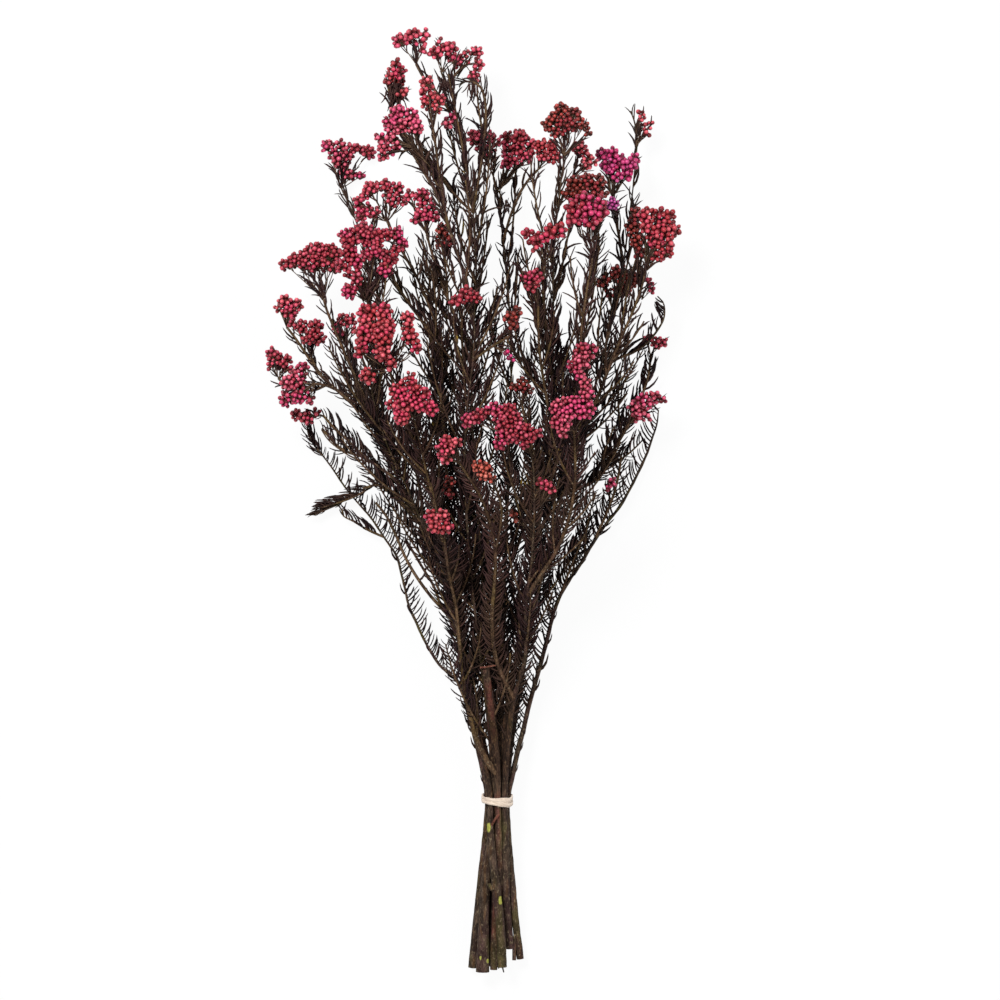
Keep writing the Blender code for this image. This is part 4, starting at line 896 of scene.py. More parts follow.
def model_needle():
    """A needle one unit long, along +Z and curving towards +X, from extruded steps."""
    bpy.ops.object.select_all(action="DESELECT")
    bpy.ops.mesh.primitive_circle_add(vertices=3, radius=NEEDLE_HALF_WIDTH, fill_type="NGON")
    needle = bpy.context.object
    bpy.ops.object.mode_set(mode="EDIT")
    for rise, shift, size in NEEDLE_STEPS[:-1]:
        bpy.ops.mesh.extrude_region_move(TRANSFORM_OT_translate={"value": (shift, 0, rise)})
        bpy.ops.transform.resize(value=(size, size, 1))
    rise, shift, _ = NEEDLE_STEPS[-1]
    bpy.ops.mesh.extrude_region_move(TRANSFORM_OT_translate={"value": (shift, 0, rise)})
    bpy.ops.mesh.merge(type="CENTER")
    bpy.ops.mesh.select_all(action="SELECT")
    bpy.ops.mesh.normals_make_consistent(inside=False)
    bpy.ops.object.mode_set(mode="OBJECT")
    return take_shape(needle)


NEEDLE = model_needle()
print("needle faces:", len(NEEDLE[1]), "height:", round(float(NEEDLE[0][:, 2].max()), 2))

# %% Model the bud
BUD_SIDES, BUD_RINGS = 7, 5
TIP_ABOVE, TIP_RISE = 0.95, 0.10
BASE_BELOW, BASE_WIDTH = -0.6, 0.75


def pick_points(shape, low, high):
    """Select, in edit mode, only the points between two heights."""
    bpy.ops.mesh.select_all(action="DESELECT")
    bpy.ops.object.mode_set(mode="OBJECT")
    for vert in shape.data.vertices:
        vert.select = low < vert.co.z < high
    bpy.ops.object.mode_set(mode="EDIT")


def model_bud():
    """A ball of radius one with a blunt tip at +Z and a narrower base."""
    bpy.ops.object.select_all(action="DESELECT")
    bpy.ops.mesh.primitive_uv_sphere_add(segments=BUD_SIDES, ring_count=BUD_RINGS, radius=1.0)
    bud = bpy.context.object
    bpy.ops.object.mode_set(mode="EDIT")
    bpy.ops.mesh.select_mode(type="VERT")
    bpy.ops.mesh.quads_convert_to_tris()
    pick_points(bud, TIP_ABOVE, math.inf)
    bpy.ops.transform.translate(value=(0, 0, TIP_RISE))
    pick_points(bud, -math.inf, BASE_BELOW)
    bpy.ops.transform.resize(value=(BASE_WIDTH, BASE_WIDTH, 1.0), center_override=(0, 0, 0))
    bpy.ops.object.mode_set(mode="OBJECT")
    return take_shape(bud)


BUD = model_bud()
print("bud faces:", len(BUD[1]))

# %% [markdown]
# ## Copying a shape many times into one mesh
# A leaf or a bud is placed by a small frame of three directions, a size and a point. All the
# copies on one stem or in one head become one mesh, with each copy's shade in the attribute.
# Particles or instances would be lighter, but an exported model keeps only real meshes.

# %% Frames for the copies
ANY_WAY = (0.3, 0.5, 0.8)


def frames_from(aims, towards):
    """Turn matrices whose Z is the aim and whose X leans towards a second direction."""
    z = aims / np.linalg.norm(aims, axis=1)[:, None]
    x = towards - z * np.sum(towards * z, axis=1)[:, None]
    short = np.linalg.norm(x, axis=1) < 1e-6
    x[short] = np.cross(z[short], ANY_WAY)
    x /= np.linalg.norm(x, axis=1)[:, None]
    y = np.cross(z, x)
    return np.stack([x, y, z], axis=2)


print("a frame aimed to the right:",
      np.round(frames_from(np.array([[1.0, 0, 0]]), np.array([[0, 0, 1.0]]))[0], 1).tolist())


# %% Copy and join
def scatter(shape, places, turns, sizes, tones, painted_shade_depth):
    """All copies of a shape as points, triangles and shades. Sizes are (count, 3)."""
    points, corners = shape
    count = len(places)
    moved = np.einsum("nij,nkj->nki", turns, points[None] * sizes[:, None, :])
    moved += places[:, None, :]
    faces = corners[None] + (np.arange(count) * len(points))[:, None, None]
    low, high = points[:, 2].min(), points[:, 2].max()
    shade = np.ones((count, len(points), 4))
    shade[:, :, 0] = tones[:, None]
    shade[:, :, 1] = ((points[:, 2] - low) / (high - low))[None]
    shade[:, :, 2] = painted_shade_depth[:, None]
    return moved.reshape(-1, 3), faces.reshape(-1, 3), shade.reshape(-1, 4)


def joined(parts):
    """Several (points, triangles, shades) sets as one."""
    points, faces, shade, first = [], [], [], 0
    for one in parts:
        points.append(one[0])
        faces.append(one[1] + first)
        shade.append(one[2])
        first += len(one[0])
    return np.vstack(points), np.vstack(faces), np.vstack(shade)


def mesh_object(name, parts, materials, slots=None, shade_name="shade"):
    """A smooth mesh object from sets in millimetres; each set may have its own material."""
    points, faces, shade = joined(parts)
    mesh = bpy.data.meshes.new(name)
    mesh.from_pydata((points * MM).tolist(), [], faces.tolist())
    mesh.polygons.foreach_set("use_smooth", np.ones(len(faces), bool))
    layer = mesh.attributes.new(shade_name, "FLOAT_COLOR", "POINT")
    layer.data.foreach_set("color", shade.ravel())
    for finish in materials:
        mesh.materials.append(finish)
    if slots is not None:
        index = np.concatenate([np.full(len(part[1]), slot) for part, slot in zip(parts, slots)])
        mesh.polygons.foreach_set("material_index", index)
    mesh.update()
    thing = bpy.data.objects.new(name, mesh)
    bpy.context.collection.objects.link(thing)
    return thing


# %% Thin stalks
STALK_END = 0.7


def stalk_shape():
    """A three-sided rod one unit long and one in radius, thinner at its upper end."""
    turn = np.arange(3) * math.tau / 3
    ring = np.stack([np.cos(turn), np.sin(turn), np.zeros(3)], axis=1)
    sides = [(k, (k + 1) % 3, (k + 1) % 3 + 3, k + 3) for k in range(3)]
    corners = [(a, b, c) for a, b, c, _ in sides] + [(a, c, d) for a, _, c, d in sides]
    corners += [(0, 2, 1), (3, 4, 5)]
    return np.vstack([ring, ring * STALK_END + (0, 0, 1)]), np.array(corners)


STALK_SHAPE = stalk_shape()
STALK_SIDE = (0.31, 0.87, 0.38)


def stalks(starts, ends, radius):
    """Stalks from each start to its end, as one set."""
    count = len(starts)
    way = ends - starts
    turns = frames_from(way, np.tile(STALK_SIDE, (count, 1)))
    lengths = np.linalg.norm(way, axis=1)
    sizes = np.stack([np.full(count, radius), np.full(count, radius), lengths], axis=1)
    return scatter(STALK_SHAPE, starts, turns, sizes, np.full(count, 0.5), np.zeros(count))


print("stalk faces:", len(STALK_SHAPE[1]))

# %% [markdown]
# ## Stems and branches
# A stem is drawn as a curve through the plan's points, with a round bevel that thins towards the
# tip, and turned into a mesh. A Displace modifier with a cloudy texture makes the bark lumpy, as
# it is on real wood. The cut ends get pale wood. Branches start inside the stem they grow on.

# %% Draw wood along routes
BARK_CLOUDS = bpy.data.textures.new("bark_clouds", "CLOUDS")
BARK_CLOUDS.noise_scale = 0.006
BARK_CLOUDS.noise_depth = 3
BARK_LUMPS = 0.6
MERGE_DISTANCE = 0.00001
SOFT_EDGE = math.radians(50)


print("bark lumps, mm:", BARK_LUMPS, "from clouds of, mm:", round(BARK_CLOUDS.noise_scale / MM, 1))


def select_only(thing):
    """Deselect everything else, and make this the active object."""
    bpy.ops.object.select_all(action="DESELECT")
    bpy.context.view_layer.objects.active = thing
    thing.select_set(True)


def wood_curve(name, rods, fineness):
    """One curve object with a smooth, tapering rod for each (route, radii), as a mesh."""
    curve = bpy.data.curves.new(name, "CURVE")
    curve.dimensions = "3D"
    curve.bevel_depth = MM
    curve.bevel_resolution = fineness
    curve.resolution_u = 1
    curve.use_fill_caps = True
    for route, radii in rods:
        line = curve.splines.new("POLY")
        line.points.add(len(route) - 1)
        line.points.foreach_set("co", np.c_[route * MM, np.ones(len(route))].ravel())
        line.points.foreach_set("radius", np.asarray(radii, float))
    thing = bpy.data.objects.new(name, curve)
    bpy.context.collection.objects.link(thing)
    select_only(thing)
    bpy.ops.object.convert(target="MESH")
    return bpy.context.object


# %% Finish the wood
def roughen(thing):
    """Lumpy bark: push the surface in and out by a cloudy texture, and apply it."""
    bpy.context.view_layer.objects.active = thing
    lumps = thing.modifiers.new("bark_lumps", "DISPLACE")
    lumps.texture = BARK_CLOUDS
    lumps.texture_coords = "LOCAL"
    lumps.strength = BARK_LUMPS * MM
    lumps.mid_level = 0.5
    bpy.ops.object.modifier_apply(modifier=lumps.name)


def weld_and_smooth(thing):
    """Merge doubled points, turn all faces outwards, and smooth all but the sharp edges."""
    select_only(thing)
    bpy.ops.object.mode_set(mode="EDIT")
    bpy.ops.mesh.select_all(action="SELECT")
    bpy.ops.mesh.remove_doubles(threshold=MERGE_DISTANCE)
    bpy.ops.mesh.normals_make_consistent(inside=False)
    bpy.ops.object.mode_set(mode="OBJECT")
    bpy.ops.object.shade_smooth_by_angle(angle=SOFT_EDGE)


def small_wood(name, route, thick, thin, bark):
    """A twig too small for a stem's piece: its own wood, ready as a piece."""
    smooth, _, _ = smooth_route(route, 2.5)
    wood = wood_curve(name + "_wood", [(smooth, np.linspace(thick, thin, len(smooth)))], 1)
    weld_and_smooth(wood)
    wood.data.materials.clear()
    wood.data.materials.append(bark)
    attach(wood, "root")
    return wood


# %% Thickness along a twig
def eased(value, low, high):
    """0 below low and 1 above high, smooth between."""
    t = np.clip((value - low) / (high - low), 0, 1)
    return t * t * (3 - 2 * t)


# How much a stem thins above the tie, and between which heights up the bunch
USUAL_THINNING = (0.36, -150, -75)
THINNING = {"stem_02": (0.0, -150, -75), "stem_03": (0.56, -182, -130),
            "stem_08": (0.36, -182, -130), "stem_05": (0.0, -176, -120),
            "left_arm": (0.36, -165, -125)}
BUTT_SWELL, BUTT_SPAN = 0.45, (198, 235)
TABLE_GAP = 0.45


def rod_along(name, step):
    """A twig's smooth route and radii. Stems swell to the cut end, and thin among the leaves."""
    places, _, even = smooth_route(route_of(name), step)
    radii = np.interp(even, np.linspace(0, even[-1], len(route_of(name))), radii_of(name))
    radii = radii + BUTT_SWELL * eased(-places[:, 1], *BUTT_SPAN)
    if name in STEMS or name in THINNING:
        loss, low, high = THINNING.get(name, USUAL_THINNING)
        radii = radii * (1 - loss * eased(places[:, 1], low, high))
    return places, np.minimum(radii, places[:, 2] - TABLE_GAP)


def limbs_of(stem):
    """Every branch that grows on a stem, or on a branch of it."""
    return [name for name in BRANCHES if stem_below(name) == stem]


print("stem_01's radius, mm:", np.round(rod_along("stem_01", 60.0)[1], 2))

# %% [markdown]
# ## Leaves on the twigs
# On the shrub the needles stand all round a twig. Pressed in the bunch, most of them lie to its
# left and right like the teeth of a comb, lean towards its tip and bend along it. Where twigs are
# bare in the plan, small side shoots fill the bunch, as they do on the shrub. The outermost stems
# lost most leaves on their outer side in the trimming. Leaves deep in the pile are darkened as
# painted shade, and leaves high in it are lightened as painted light.

# %% How deep a leaf lies, for its painted shade
DICE = np.random.default_rng(1286)
PILE = {}
PILE_CELL = 12.0
PILE_SHARE = 0.38
CROWD = (7, 30)


print("squares of the table, mm:", PILE_CELL)


def cells_of(points):
    """The small square of the table that each point lies over."""
    return [tuple(cell) for cell in np.floor(points[:, :2] / PILE_CELL).astype(int).tolist()]


def note_pile(points):
    """Remember the highest wood and how much there is in each small square, seen from above."""
    for cell, height in zip(cells_of(points), points[:, 2].tolist()):
        top, count = PILE.get(cell, (0.0, 0))
        PILE[cell] = (max(top, height), count + 1)


def painted_shade_in_pile(points):
    """Painted shade by how deep each point lies in the pile, from 0 to 1. Where twigs are few,
    nothing is deep.
    """
    moved = points + DICE.uniform(-0.5, 0.5, points.shape) * PILE_CELL
    known = [PILE.get(cell, (0.0, 0)) for cell in cells_of(moved)]
    top, count = np.array(known, float).reshape(-1, 2).T
    painted_shade_depth = np.clip((top - points[:, 2] - 3) / (PILE_SHARE * top + 4), 0, 1)
    return painted_shade_depth * (0.35 + 0.65 * eased(count, *CROWD))


# %% Combs of needles
UP = (0.0, 0.12, 1.0)
NEEDLE_WIDTH = 10.4
LOOSE_SHARE = 0.10
LIFT = (-0.20, 0.36)
# Heights up the bunch between which leaves grow looser, and are lost to the flowers
LOOSER_SPAN, LOSS_SPAN = (20, 170), (40, 130)
LOSS_SHARE, THIN_SHARE, SHORT_SHARE, TIP_SHARE = 0.42, 0.36, 0.60, 0.55
TIP_LENGTH = 12
LEAF_FLOOR, NEEDLE_FLOOR = 1.2, 0.9
# Painted light: how much lighter leaves are high in the pile, and between which heights above
# the table
PAINTED_TOP_LIGHT, PAINTED_TOP_LIGHT_SPAN = 0.26, (45, 115)
# Where leaves start above the tie, below where they are short, and a height below them all
LEAFLESS, SHORT, NOWHERE = -166, -150, -400


def comb_directions(ways):
    """Outward directions, left and right in turn, lifted by chance; a few stand anywhere."""
    count = len(ways)
    first = frames_from(ways, np.tile(UP, (count, 1)))
    hand = np.where(np.arange(count) % 2, 1.0, -1.0)
    lift = DICE.normal(*LIFT, count)
    loose = DICE.uniform(0, 1, count) < LOOSE_SHARE
    lift = np.where(loose, DICE.uniform(-1.5, 1.5, count), lift)
    return (first[:, :, 1] * (hand * np.cos(lift))[:, None]
            + first[:, :, 0] * np.sin(lift)[:, None])


def leaf_chances(height, leafless, thin_below, upper_loss):
    """The share of leaves that a twig has kept at each height up the bunch."""
    chance = eased(height, leafless - 8, leafless + 30)
    chance = chance * (1 - LOSS_SHARE * upper_loss * eased(height, *LOSS_SPAN))
    return chance * (THIN_SHARE + (1 - THIN_SHARE) * eased(height, thin_below - 20,
                                                           thin_below + 20))


print("leaves kept at heights -150, 0 and 150:",
      np.round(leaf_chances(np.array([-150, 0, 150]), LEAFLESS, NOWHERE, 1.0), 2))


# %% Needles along a twig
def needles_along(route, start, pitch, length, lean, side=None, leafless=LEAFLESS,
                  short_below=SHORT, thin_below=NOWHERE, upper_loss=1.0, stout=1.0, tint=0.0):
    """Needle leaves along a smooth route, combed to both sides, shorter near the tie."""
    places, ways, even = smooth_route(route, 1.0)
    far = np.arange(start, even[-1] + 0.5, pitch)
    far = np.clip(far + DICE.uniform(-0.3, 0.3, len(far)) * pitch, 0, even[-1])
    feet = np.stack([np.interp(far, even, places[:, k]) for k in range(3)], axis=1)
    way = np.stack([np.interp(far, even, ways[:, k]) for k in range(3)], axis=1)
    count, looser = len(far), eased(feet[:, 1], *LOOSER_SPAN)
    out = comb_directions(way)
    kept = DICE.uniform(0, 1, count) < leaf_chances(feet[:, 1], leafless, thin_below, upper_loss)
    kept &= DICE.uniform(0, 1, count) > 1.1 * np.maximum(0, -out[:, 1])
    if side is not None:
        liking = out @ (np.array(side, float) / np.linalg.norm(side))
        kept &= liking > DICE.uniform(-0.25, 0.25, count)
    angle = np.radians(lean - 27 * looser + DICE.normal(0, 5 + 4 * looser))
    aim = out * np.sin(angle)[:, None] + way * np.cos(angle)[:, None]
    size = length * (1 + 0.16 * looser) * DICE.uniform(0.80, 1.12, count)
    size *= (TIP_SHARE + (1 - TIP_SHARE) * eased(even[-1] - far, 0, TIP_LENGTH))
    size *= 1 + 0.32 * out[:, 1]
    size *= SHORT_SHARE + (1 - SHORT_SHARE) * eased(feet[:, 1], short_below - 30, short_below + 30)
    aim[:, 2] = np.maximum(aim[:, 2], np.minimum((LEAF_FLOOR - feet[:, 2]) / size, 0.3))
    bend = way + DICE.normal(0, 1, (count, 3)) * (0.16 + 0.34 * looser)[:, None]
    turns = frames_from(aim, bend)
    curl = size * DICE.uniform(0.8, 1.55 + 0.4 * looser) * (0.75 if side is not None else 1.0)
    tips = feet[:, 2] + turns[:, 2, 2] * size + turns[:, 2, 0] * curl * NEEDLE_BEND
    kept &= tips > NEEDLE_FLOOR
    width = NEEDLE_WIDTH * stout * (1 - 0.12 * looser) * DICE.uniform(0.8, 1.2, count)
    sizes = np.stack([curl, width, size], axis=1)
    # Leaves high in the pile get painted light added to their random tone
    tones = DICE.beta(0.95, 2.1, count) + PAINTED_TOP_LIGHT * eased(feet[:, 2], *PAINTED_TOP_LIGHT_SPAN) + tint
    return scatter(NEEDLE, feet[kept], turns[kept], sizes[kept], np.clip(tones, 0, 1)[kept],
                   painted_shade_in_pile(feet[kept]))

# %% [markdown]
# ## Side shoots
# A shrub's twig forks again and again, and drawing each fork by hand would take days. So side
# shoots grow by a rule: each leaves its twig a golden angle round from the last, bends back along
# it, and is dropped if its tip would lie outside the bunch as it is seen from above.

# %% Side shoots that fill the bunch
OUTLINE = [
    (-1, -146), (-7, -128), (-14, -108), (-17, -88), (-17, -68), (-21, -50), (-32, -34),
    (-50, -18), (-72, -3), (-90, 20),
    (-99, 38), (-100, 50), (-90, 60), (-95, 80), (-90, 100), (-72, 118), (-66, 150), (-74, 182),
    (-58, 196), (-44, 208), (-52, 236), (-55, 250), (-45, 274), (-20, 274), (0, 268), (11, 262),
    (13, 238), (28, 226), (60, 222), (84, 212), (98, 240), (105, 244), (103, 200), (111, 178),
    (111, 150), (121, 126), (111, 100), (117, 60), (107, 30), (91, -5), (70, -36), (49, -65),
    (36, -100), (26, -140)]
GOLDEN_ANGLE = math.radians(137.5)
SHOOT_STEPS = 12
SHOOT_SPREAD = 31
SHOOT_STEP = 2.0
LOWEST_SHOOT = -156.0
SHOOT_FLOOR, SHOOT_CEILING = 3.0, 146


def inside(point):
    """True where a point, seen from above, lies within the outline."""
    x, y = point[0], point[1]
    crossings = 0
    for (ax, ay), (bx, by) in zip(OUTLINE, OUTLINE[1:] + OUTLINE[:1]):
        if (ay > y) != (by > y) and x < ax + (y - ay) * (bx - ax) / (by - ay):
            crossings += 1
    return crossings % 2 == 1


def side_shoot(foot, way, out, length, spread):
    """A curved twig that leaves at an angle and bends back along its parent."""
    points = [np.array(foot)]
    for i in range(SHOOT_STEPS):
        angle = math.radians(spread) * (1 - 0.75 * i / SHOOT_STEPS)
        aim = way * math.cos(angle) + out * math.sin(angle)
        points.append(points[-1] + aim * length / SHOOT_STEPS)
    return np.array(points)


def shoots_along(route, start, end_gap, pitch, length, side=None, upper_loss=1.0):
    """Side shoots in turn round a route, dropped where they would leave the bunch's outline."""
    places, ways, even = smooth_route(route, SHOOT_STEP)
    made = []
    far = start + DICE.uniform(0, pitch)
    turn = DICE.uniform(0, math.tau)
    while far < even[-1] - end_gap:
        k = int(far / SHOOT_STEP)
        here = places[k]
        far += pitch * DICE.uniform(0.75, 1.3) * (1 + 1.5 * upper_loss * eased(here[1], 60, 170))
        turn += GOLDEN_ANGLE
        if here[1] < LOWEST_SHOOT:
            continue
        turned = frames_from(ways[k][None], np.array([UP]))[0]
        out = turned[:, 0] * (0.5 * math.cos(turn) - 0.28) + turned[:, 1] * math.sin(turn)
        out /= np.linalg.norm(out)
        if side is not None and out @ np.array(side) < 0:
            out = -out
        size = length * DICE.uniform(0.7, 1.25)
        wide = (SHOOT_SPREAD + DICE.uniform(-6, 8)) * (1 - 0.35 * eased(here[1], 40, 140))
        shoot = side_shoot(here, ways[k], out, size, wide)
        shoot[:, 2] = np.maximum(shoot[:, 2], SHOOT_FLOOR)
        if inside(shoot[-1]) and shoot[:, 2].max() < SHOOT_CEILING:
            made.append(shoot)
    return made


print("outline corners:", len(OUTLINE))

# %% [markdown]
# ## One stem at a time
# No two twigs of the bunch are alike: some lost their lower leaves, some are combed flat, and the
# outermost ones keep leaves on their inner side alone. What is special about a twig stands in a
# table under its name. The wood of a stem and all its branches becomes one piece, and its leaves
# another, so that bark and leaves can each take their own finish later.

# %% How each twig differs
# Twigs without leaves, and twigs without side shoots
BARE = {"cut_fork", "cut_twig", "cut_sliver"}
NO_SHOOTS = BARE | {
    "far_left_low", "far_left_side", "umbrella_stalk", "outer_right_twig", "centre_right",
    "plume", "low_left", "low_left_twig", "second_left", "third_left"}
# The side that the outermost stems' leaves and shoots keep to
ONE_SIDED = {"stem_08": (0.8, 0.5, 0.3), "stem_05": (-0.8, 0.6, 0.3),
             "far_left_side": (0.2, 1, 0.3)}
# The height up the bunch below which a stem or a branch has no leaves
LEAFLESS_BELOW = {"stem_02": -115, "stem_10": -124, "stem_03": -142, "stem_04": -146,
                  "stem_05": -178, "stem_06": -178, "stem_07": -176, "stem_08": -180,
                  "second_left": -36, "third_left": -36}
# How much of its leaves a twig loses towards the top, where that isn't all of the usual loss
UPPER_LOSS = {"stem_01": 0.3, "hooked_top": 0.2, "stem_11": 0.3, "right_main": 0.5,
              "stem_06": 1.5, "far_right": 0.5, "right_curl": 0.2, "right_arc": 0.2}
# The heights below which leaves are short, or few, and how much lighter a twig's leaves are
SHORT_BELOW = {"stem_08": -110}
THIN_BELOW = {"stem_05": -150}
TINTS = {"plume": 0.52, "plume_side": 0.35, "left_arm": 0.12, "stem_04": 0.1}
# How far apart a twig's leaves stand, and the outermost stems' own combs: how far apart their
# leaves stand, and those leaves' length, lean and stoutness
SPARSE = {"centre_right": 4.0, "centre_low": 4.0, "stem_09": 1.9, "top_right_side": 3.0,
          "crossing_twig": 3.0, "right_magenta": 2.4, "hooked_top": 1.7}
COMBS = {"stem_05": (1.2, 12.0, 64, 1.55), "stem_08": (0.95, 9.8, 70, 1.85),
         "far_left_side": (0.95, 9.0, 68, 1.7), "plume": (0.72, 10.5, 62, 1.3),
         "plume_side": (1.0, 9.5, 58, 1.3)}
# How far apart side shoots stand, and where the outermost stems' start and end and how long
USUAL_PITCH = 18
SHOOT_PITCH = {"stem_06": 26, "right_arc": 30, "stem_09": 26, "stem_05": 14, "stem_08": 7,
               "far_right": 12}
SIDE_SHOOTS = {"stem_05": (215, 60, 36), "stem_08": (120, 120, 26)}
STEM_SHOOT, BRANCH_SHOOT = 62, 44
STEM_BARK = {"stem_02": RED_BARK, "stem_03": SCARRED_BARK, "stem_10": NICKED_BARK,
             "stem_05": OUTER_BARK, "stem_08": OUTER_BARK}


def shoots_of(stem):
    """Every side shoot on a stem and its branches."""
    made = []
    for name in [stem, *limbs_of(stem)]:
        if name in NO_SHOOTS:
            continue
        if name in SIDE_SHOOTS:
            made += shoots_along(route_of(name), *SIDE_SHOOTS[name][:2], SHOOT_PITCH[name],
                                 SIDE_SHOOTS[name][2], ONE_SIDED[name])
        else:
            made += shoots_along(route_of(name), 10, 30, SHOOT_PITCH.get(name, USUAL_PITCH),
                                 STEM_SHOOT if name in STEMS else BRANCH_SHOOT,
                                 upper_loss=UPPER_LOSS.get(name, 1.0))
    return made


SHOOTS_ON = {stem: shoots_of(stem) for stem in STEMS}
for name in [*STEMS, *BRANCHES]:
    note_pile(smooth_route(route_of(name))[0])
for shoots in SHOOTS_ON.values():
    for shoot in shoots:
        note_pile(shoot)
print("side shoots:", sum(len(shoots) for shoots in SHOOTS_ON.values()), "squares:", len(PILE))

# %% The trunk of a stem
CUT_FACES_BELOW = -0.27
SHOOT_RADII = (0.80, 0.46)


def give_finishes(thing, stem, index):
    """The stem's bark, cut wood, twig bark and stub bark; every face gets the one at index."""
    thing.data.materials.clear()
    for finish in (STEM_BARK.get(stem, BARK), CUT_WOOD, TWIG_BARK, STUB_BARK):
        thing.data.materials.append(finish)
    for poly in thing.data.polygons:
        poly.material_index = index


def make_trunk(stem):
    """The stem itself, lumpy, with pale wood on its cut end."""
    trunk = wood_curve(stem + "_trunk", [rod_along(stem, 2.0)], 4)
    roughen(trunk)
    give_finishes(trunk, stem, 0)
    for poly in trunk.data.polygons:
        if len(poly.vertices) > 4 and poly.center.y < CUT_FACES_BELOW:
            poly.material_index = 1
    return trunk


# %% Join a stem's wood
def make_wood(stem, shoots):
    """The stem, its branches, its shoots and its cut stubs, joined as one piece."""
    trunk = make_trunk(stem)
    parts = [trunk]
    rods = [rod_along(name, 3.5) for name in limbs_of(stem) if name not in BARE]
    rods += [(shoot, np.linspace(*SHOOT_RADII, len(shoot))) for shoot in shoots]
    if rods:
        parts.append(wood_curve(stem + "_twigs", rods, 1))
        give_finishes(parts[-1], stem, 2)
    for name in limbs_of(stem):
        if name in BARE:
            parts.append(wood_curve(name + "_stub", [rod_along(name, 2.0)], 2))
            give_finishes(parts[-1], stem, 3 if name == "cut_twig" else 0)
    select_only(trunk)
    for part in parts:
        part.select_set(True)
    if len(parts) > 1:
        bpy.ops.object.join()
    weld_and_smooth(trunk)
    trunk.name = stem + "_wood"
    trunk.data.name = trunk.name
    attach(trunk, "root")
    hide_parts(stem)


# %% The leaves of a stem, and all stems
def comb_of(name, stem):
    """A twig's own needles: the usual ones, with what the tables above say of it."""
    pitch, length, lean, stout = COMBS.get(name, (SPARSE.get(name, 1.2), 11.0, 56, 1.0))
    tables = {"side": ONE_SIDED, "short_below": SHORT_BELOW, "thin_below": THIN_BELOW,
              "upper_loss": UPPER_LOSS, "tint": TINTS}
    special = {rule: table[name] for rule, table in tables.items() if name in table}
    leafless = LEAFLESS_BELOW.get(name, LEAFLESS_BELOW.get(stem, LEAFLESS))
    return needles_along(route_of(name), start=4, pitch=pitch, length=length, lean=lean,
                         leafless=leafless, stout=stout, **special)


def make_leaves(stem, shoots):
    """All the needles on one stem as one piece."""
    sets = [comb_of(name, stem) for name in [stem, *limbs_of(stem)] if name not in BARE]
    sets += [needles_along(shoot, start=2, pitch=1.5, length=10.6, lean=54) for shoot in shoots]
    leaves = mesh_object(stem + "_leaves", sets, [LEAF])
    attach(leaves, "root")
    return len(leaves.data.polygons)


leaf_faces = 0
for stem, shoots in SHOOTS_ON.items():
    make_wood(stem, shoots)
    leaf_faces += make_leaves(stem, shoots)
print("needles:", leaf_faces // len(NEEDLE[1]), "faces:", leaf_faces)

# %% [markdown]
# ## Odd twigs and leaves
# A few twigs are too thin to be solids: bare ones at the left edge, a broken pink one across the
# stub, and brushes of leaves at the far left. Single long leaves curl out of the bunch's edges,
# and some shoots at the top wilted into tangles. A rule would not put them where they are, so
# each has its place in a list.

# %% Thin twigs
# Each thin twig: its radius, its bark, how far apart its leaves stand if it has any, its route
THIN_TWIGS = {
    "thin_left": (0.55, TWIG_BARK, 3.4, [
        (-62, 24, 43), (-74, 27, 44), (-84, 33, 44), (-91, 39, 43), (-95, 45, 42)]),
    "left_hook": (0.6, TWIG_BARK, 1.3, [
        (-63, -20, 8.8), (-69, -17, 8.8), (-75.5, -13, 9), (-82, -9.5, 9.3), (-82.5, -5, 10)]),
    "left_brush": (0.7, TWIG_BARK, 0.7, [
        (-64, 9, 17), (-72, 4, 14), (-80, 0.5, 12.5), (-88, -2, 12), (-96, -4.5, 12)]),
    "pink_twig": (0.75, STUB_BARK, None, [
        (5.5, -105.5, 49), (10.5, -104.8, 50), (15.5, -104, 50)]),
    "torn_end": (0.6, BARK, None, [
        (19.3, -294.0, 19.4), (19.7, -297.2, 18.6), (20.4, -299.9, 18.0)]),
    "torn_end_inner": (0.5, BARK, None, [
        (17.6, -291.5, 9.6), (17.2, -295, 9.5), (17.1, -298, 9.2)]),
}


def make_thin_twig(name):
    """A thin twig as a piece of wood, and its leaves as a set, if it has any."""
    radius, bark, pitch, route = THIN_TWIGS[name]
    small_wood(name, route, radius, 0.4, bark)
    return [needles_along(route, start=2, pitch=pitch, length=9.5, lean=50)] if pitch else []


odd_sets = [part for name in THIN_TWIGS for part in make_thin_twig(name)]
print("thin twigs:", len(THIN_TWIGS), "with leaves:", len(odd_sets))

# %% Stray leaves and tangles
# Each stray leaf: its stem, how far up the bunch, to the right (1) or left (-1), and its length
STRAYS = [
    ("stem_05", -174, 1, 6), ("stem_05", -160, 1, 6.5), ("stem_05", -150, 1, 5),
    ("stem_05", -128, -1, 9), ("stem_05", -121, 1, 8), ("stem_05", -108, 1, 10.5),
    ("stem_05", -101, -1, 10), ("stem_05", -92, 1, 7), ("stem_05", -76, 1, 6),
    ("stem_05", -48, 1, 8), ("stem_08", -60, -1, 7), ("stem_08", -38, -1, 8.5),
    ("stem_08", -96, -1, 6), ("stem_08", -132, -1, 7.5), ("stem_08", -143, -1, 8),
    ("stem_08", -147, -1, 6.5), ("stem_08", -158, -1, 8), ("stem_08", -180, -1, 6),
    ("second_left", -62, -1, 7), ("second_left", -50, 1, 8), ("third_left", -44, 1, 9),
    ("third_left", -32, -1, 8), ("third_left", -38, 1, 7)]
STRAY_CURL = 2.2
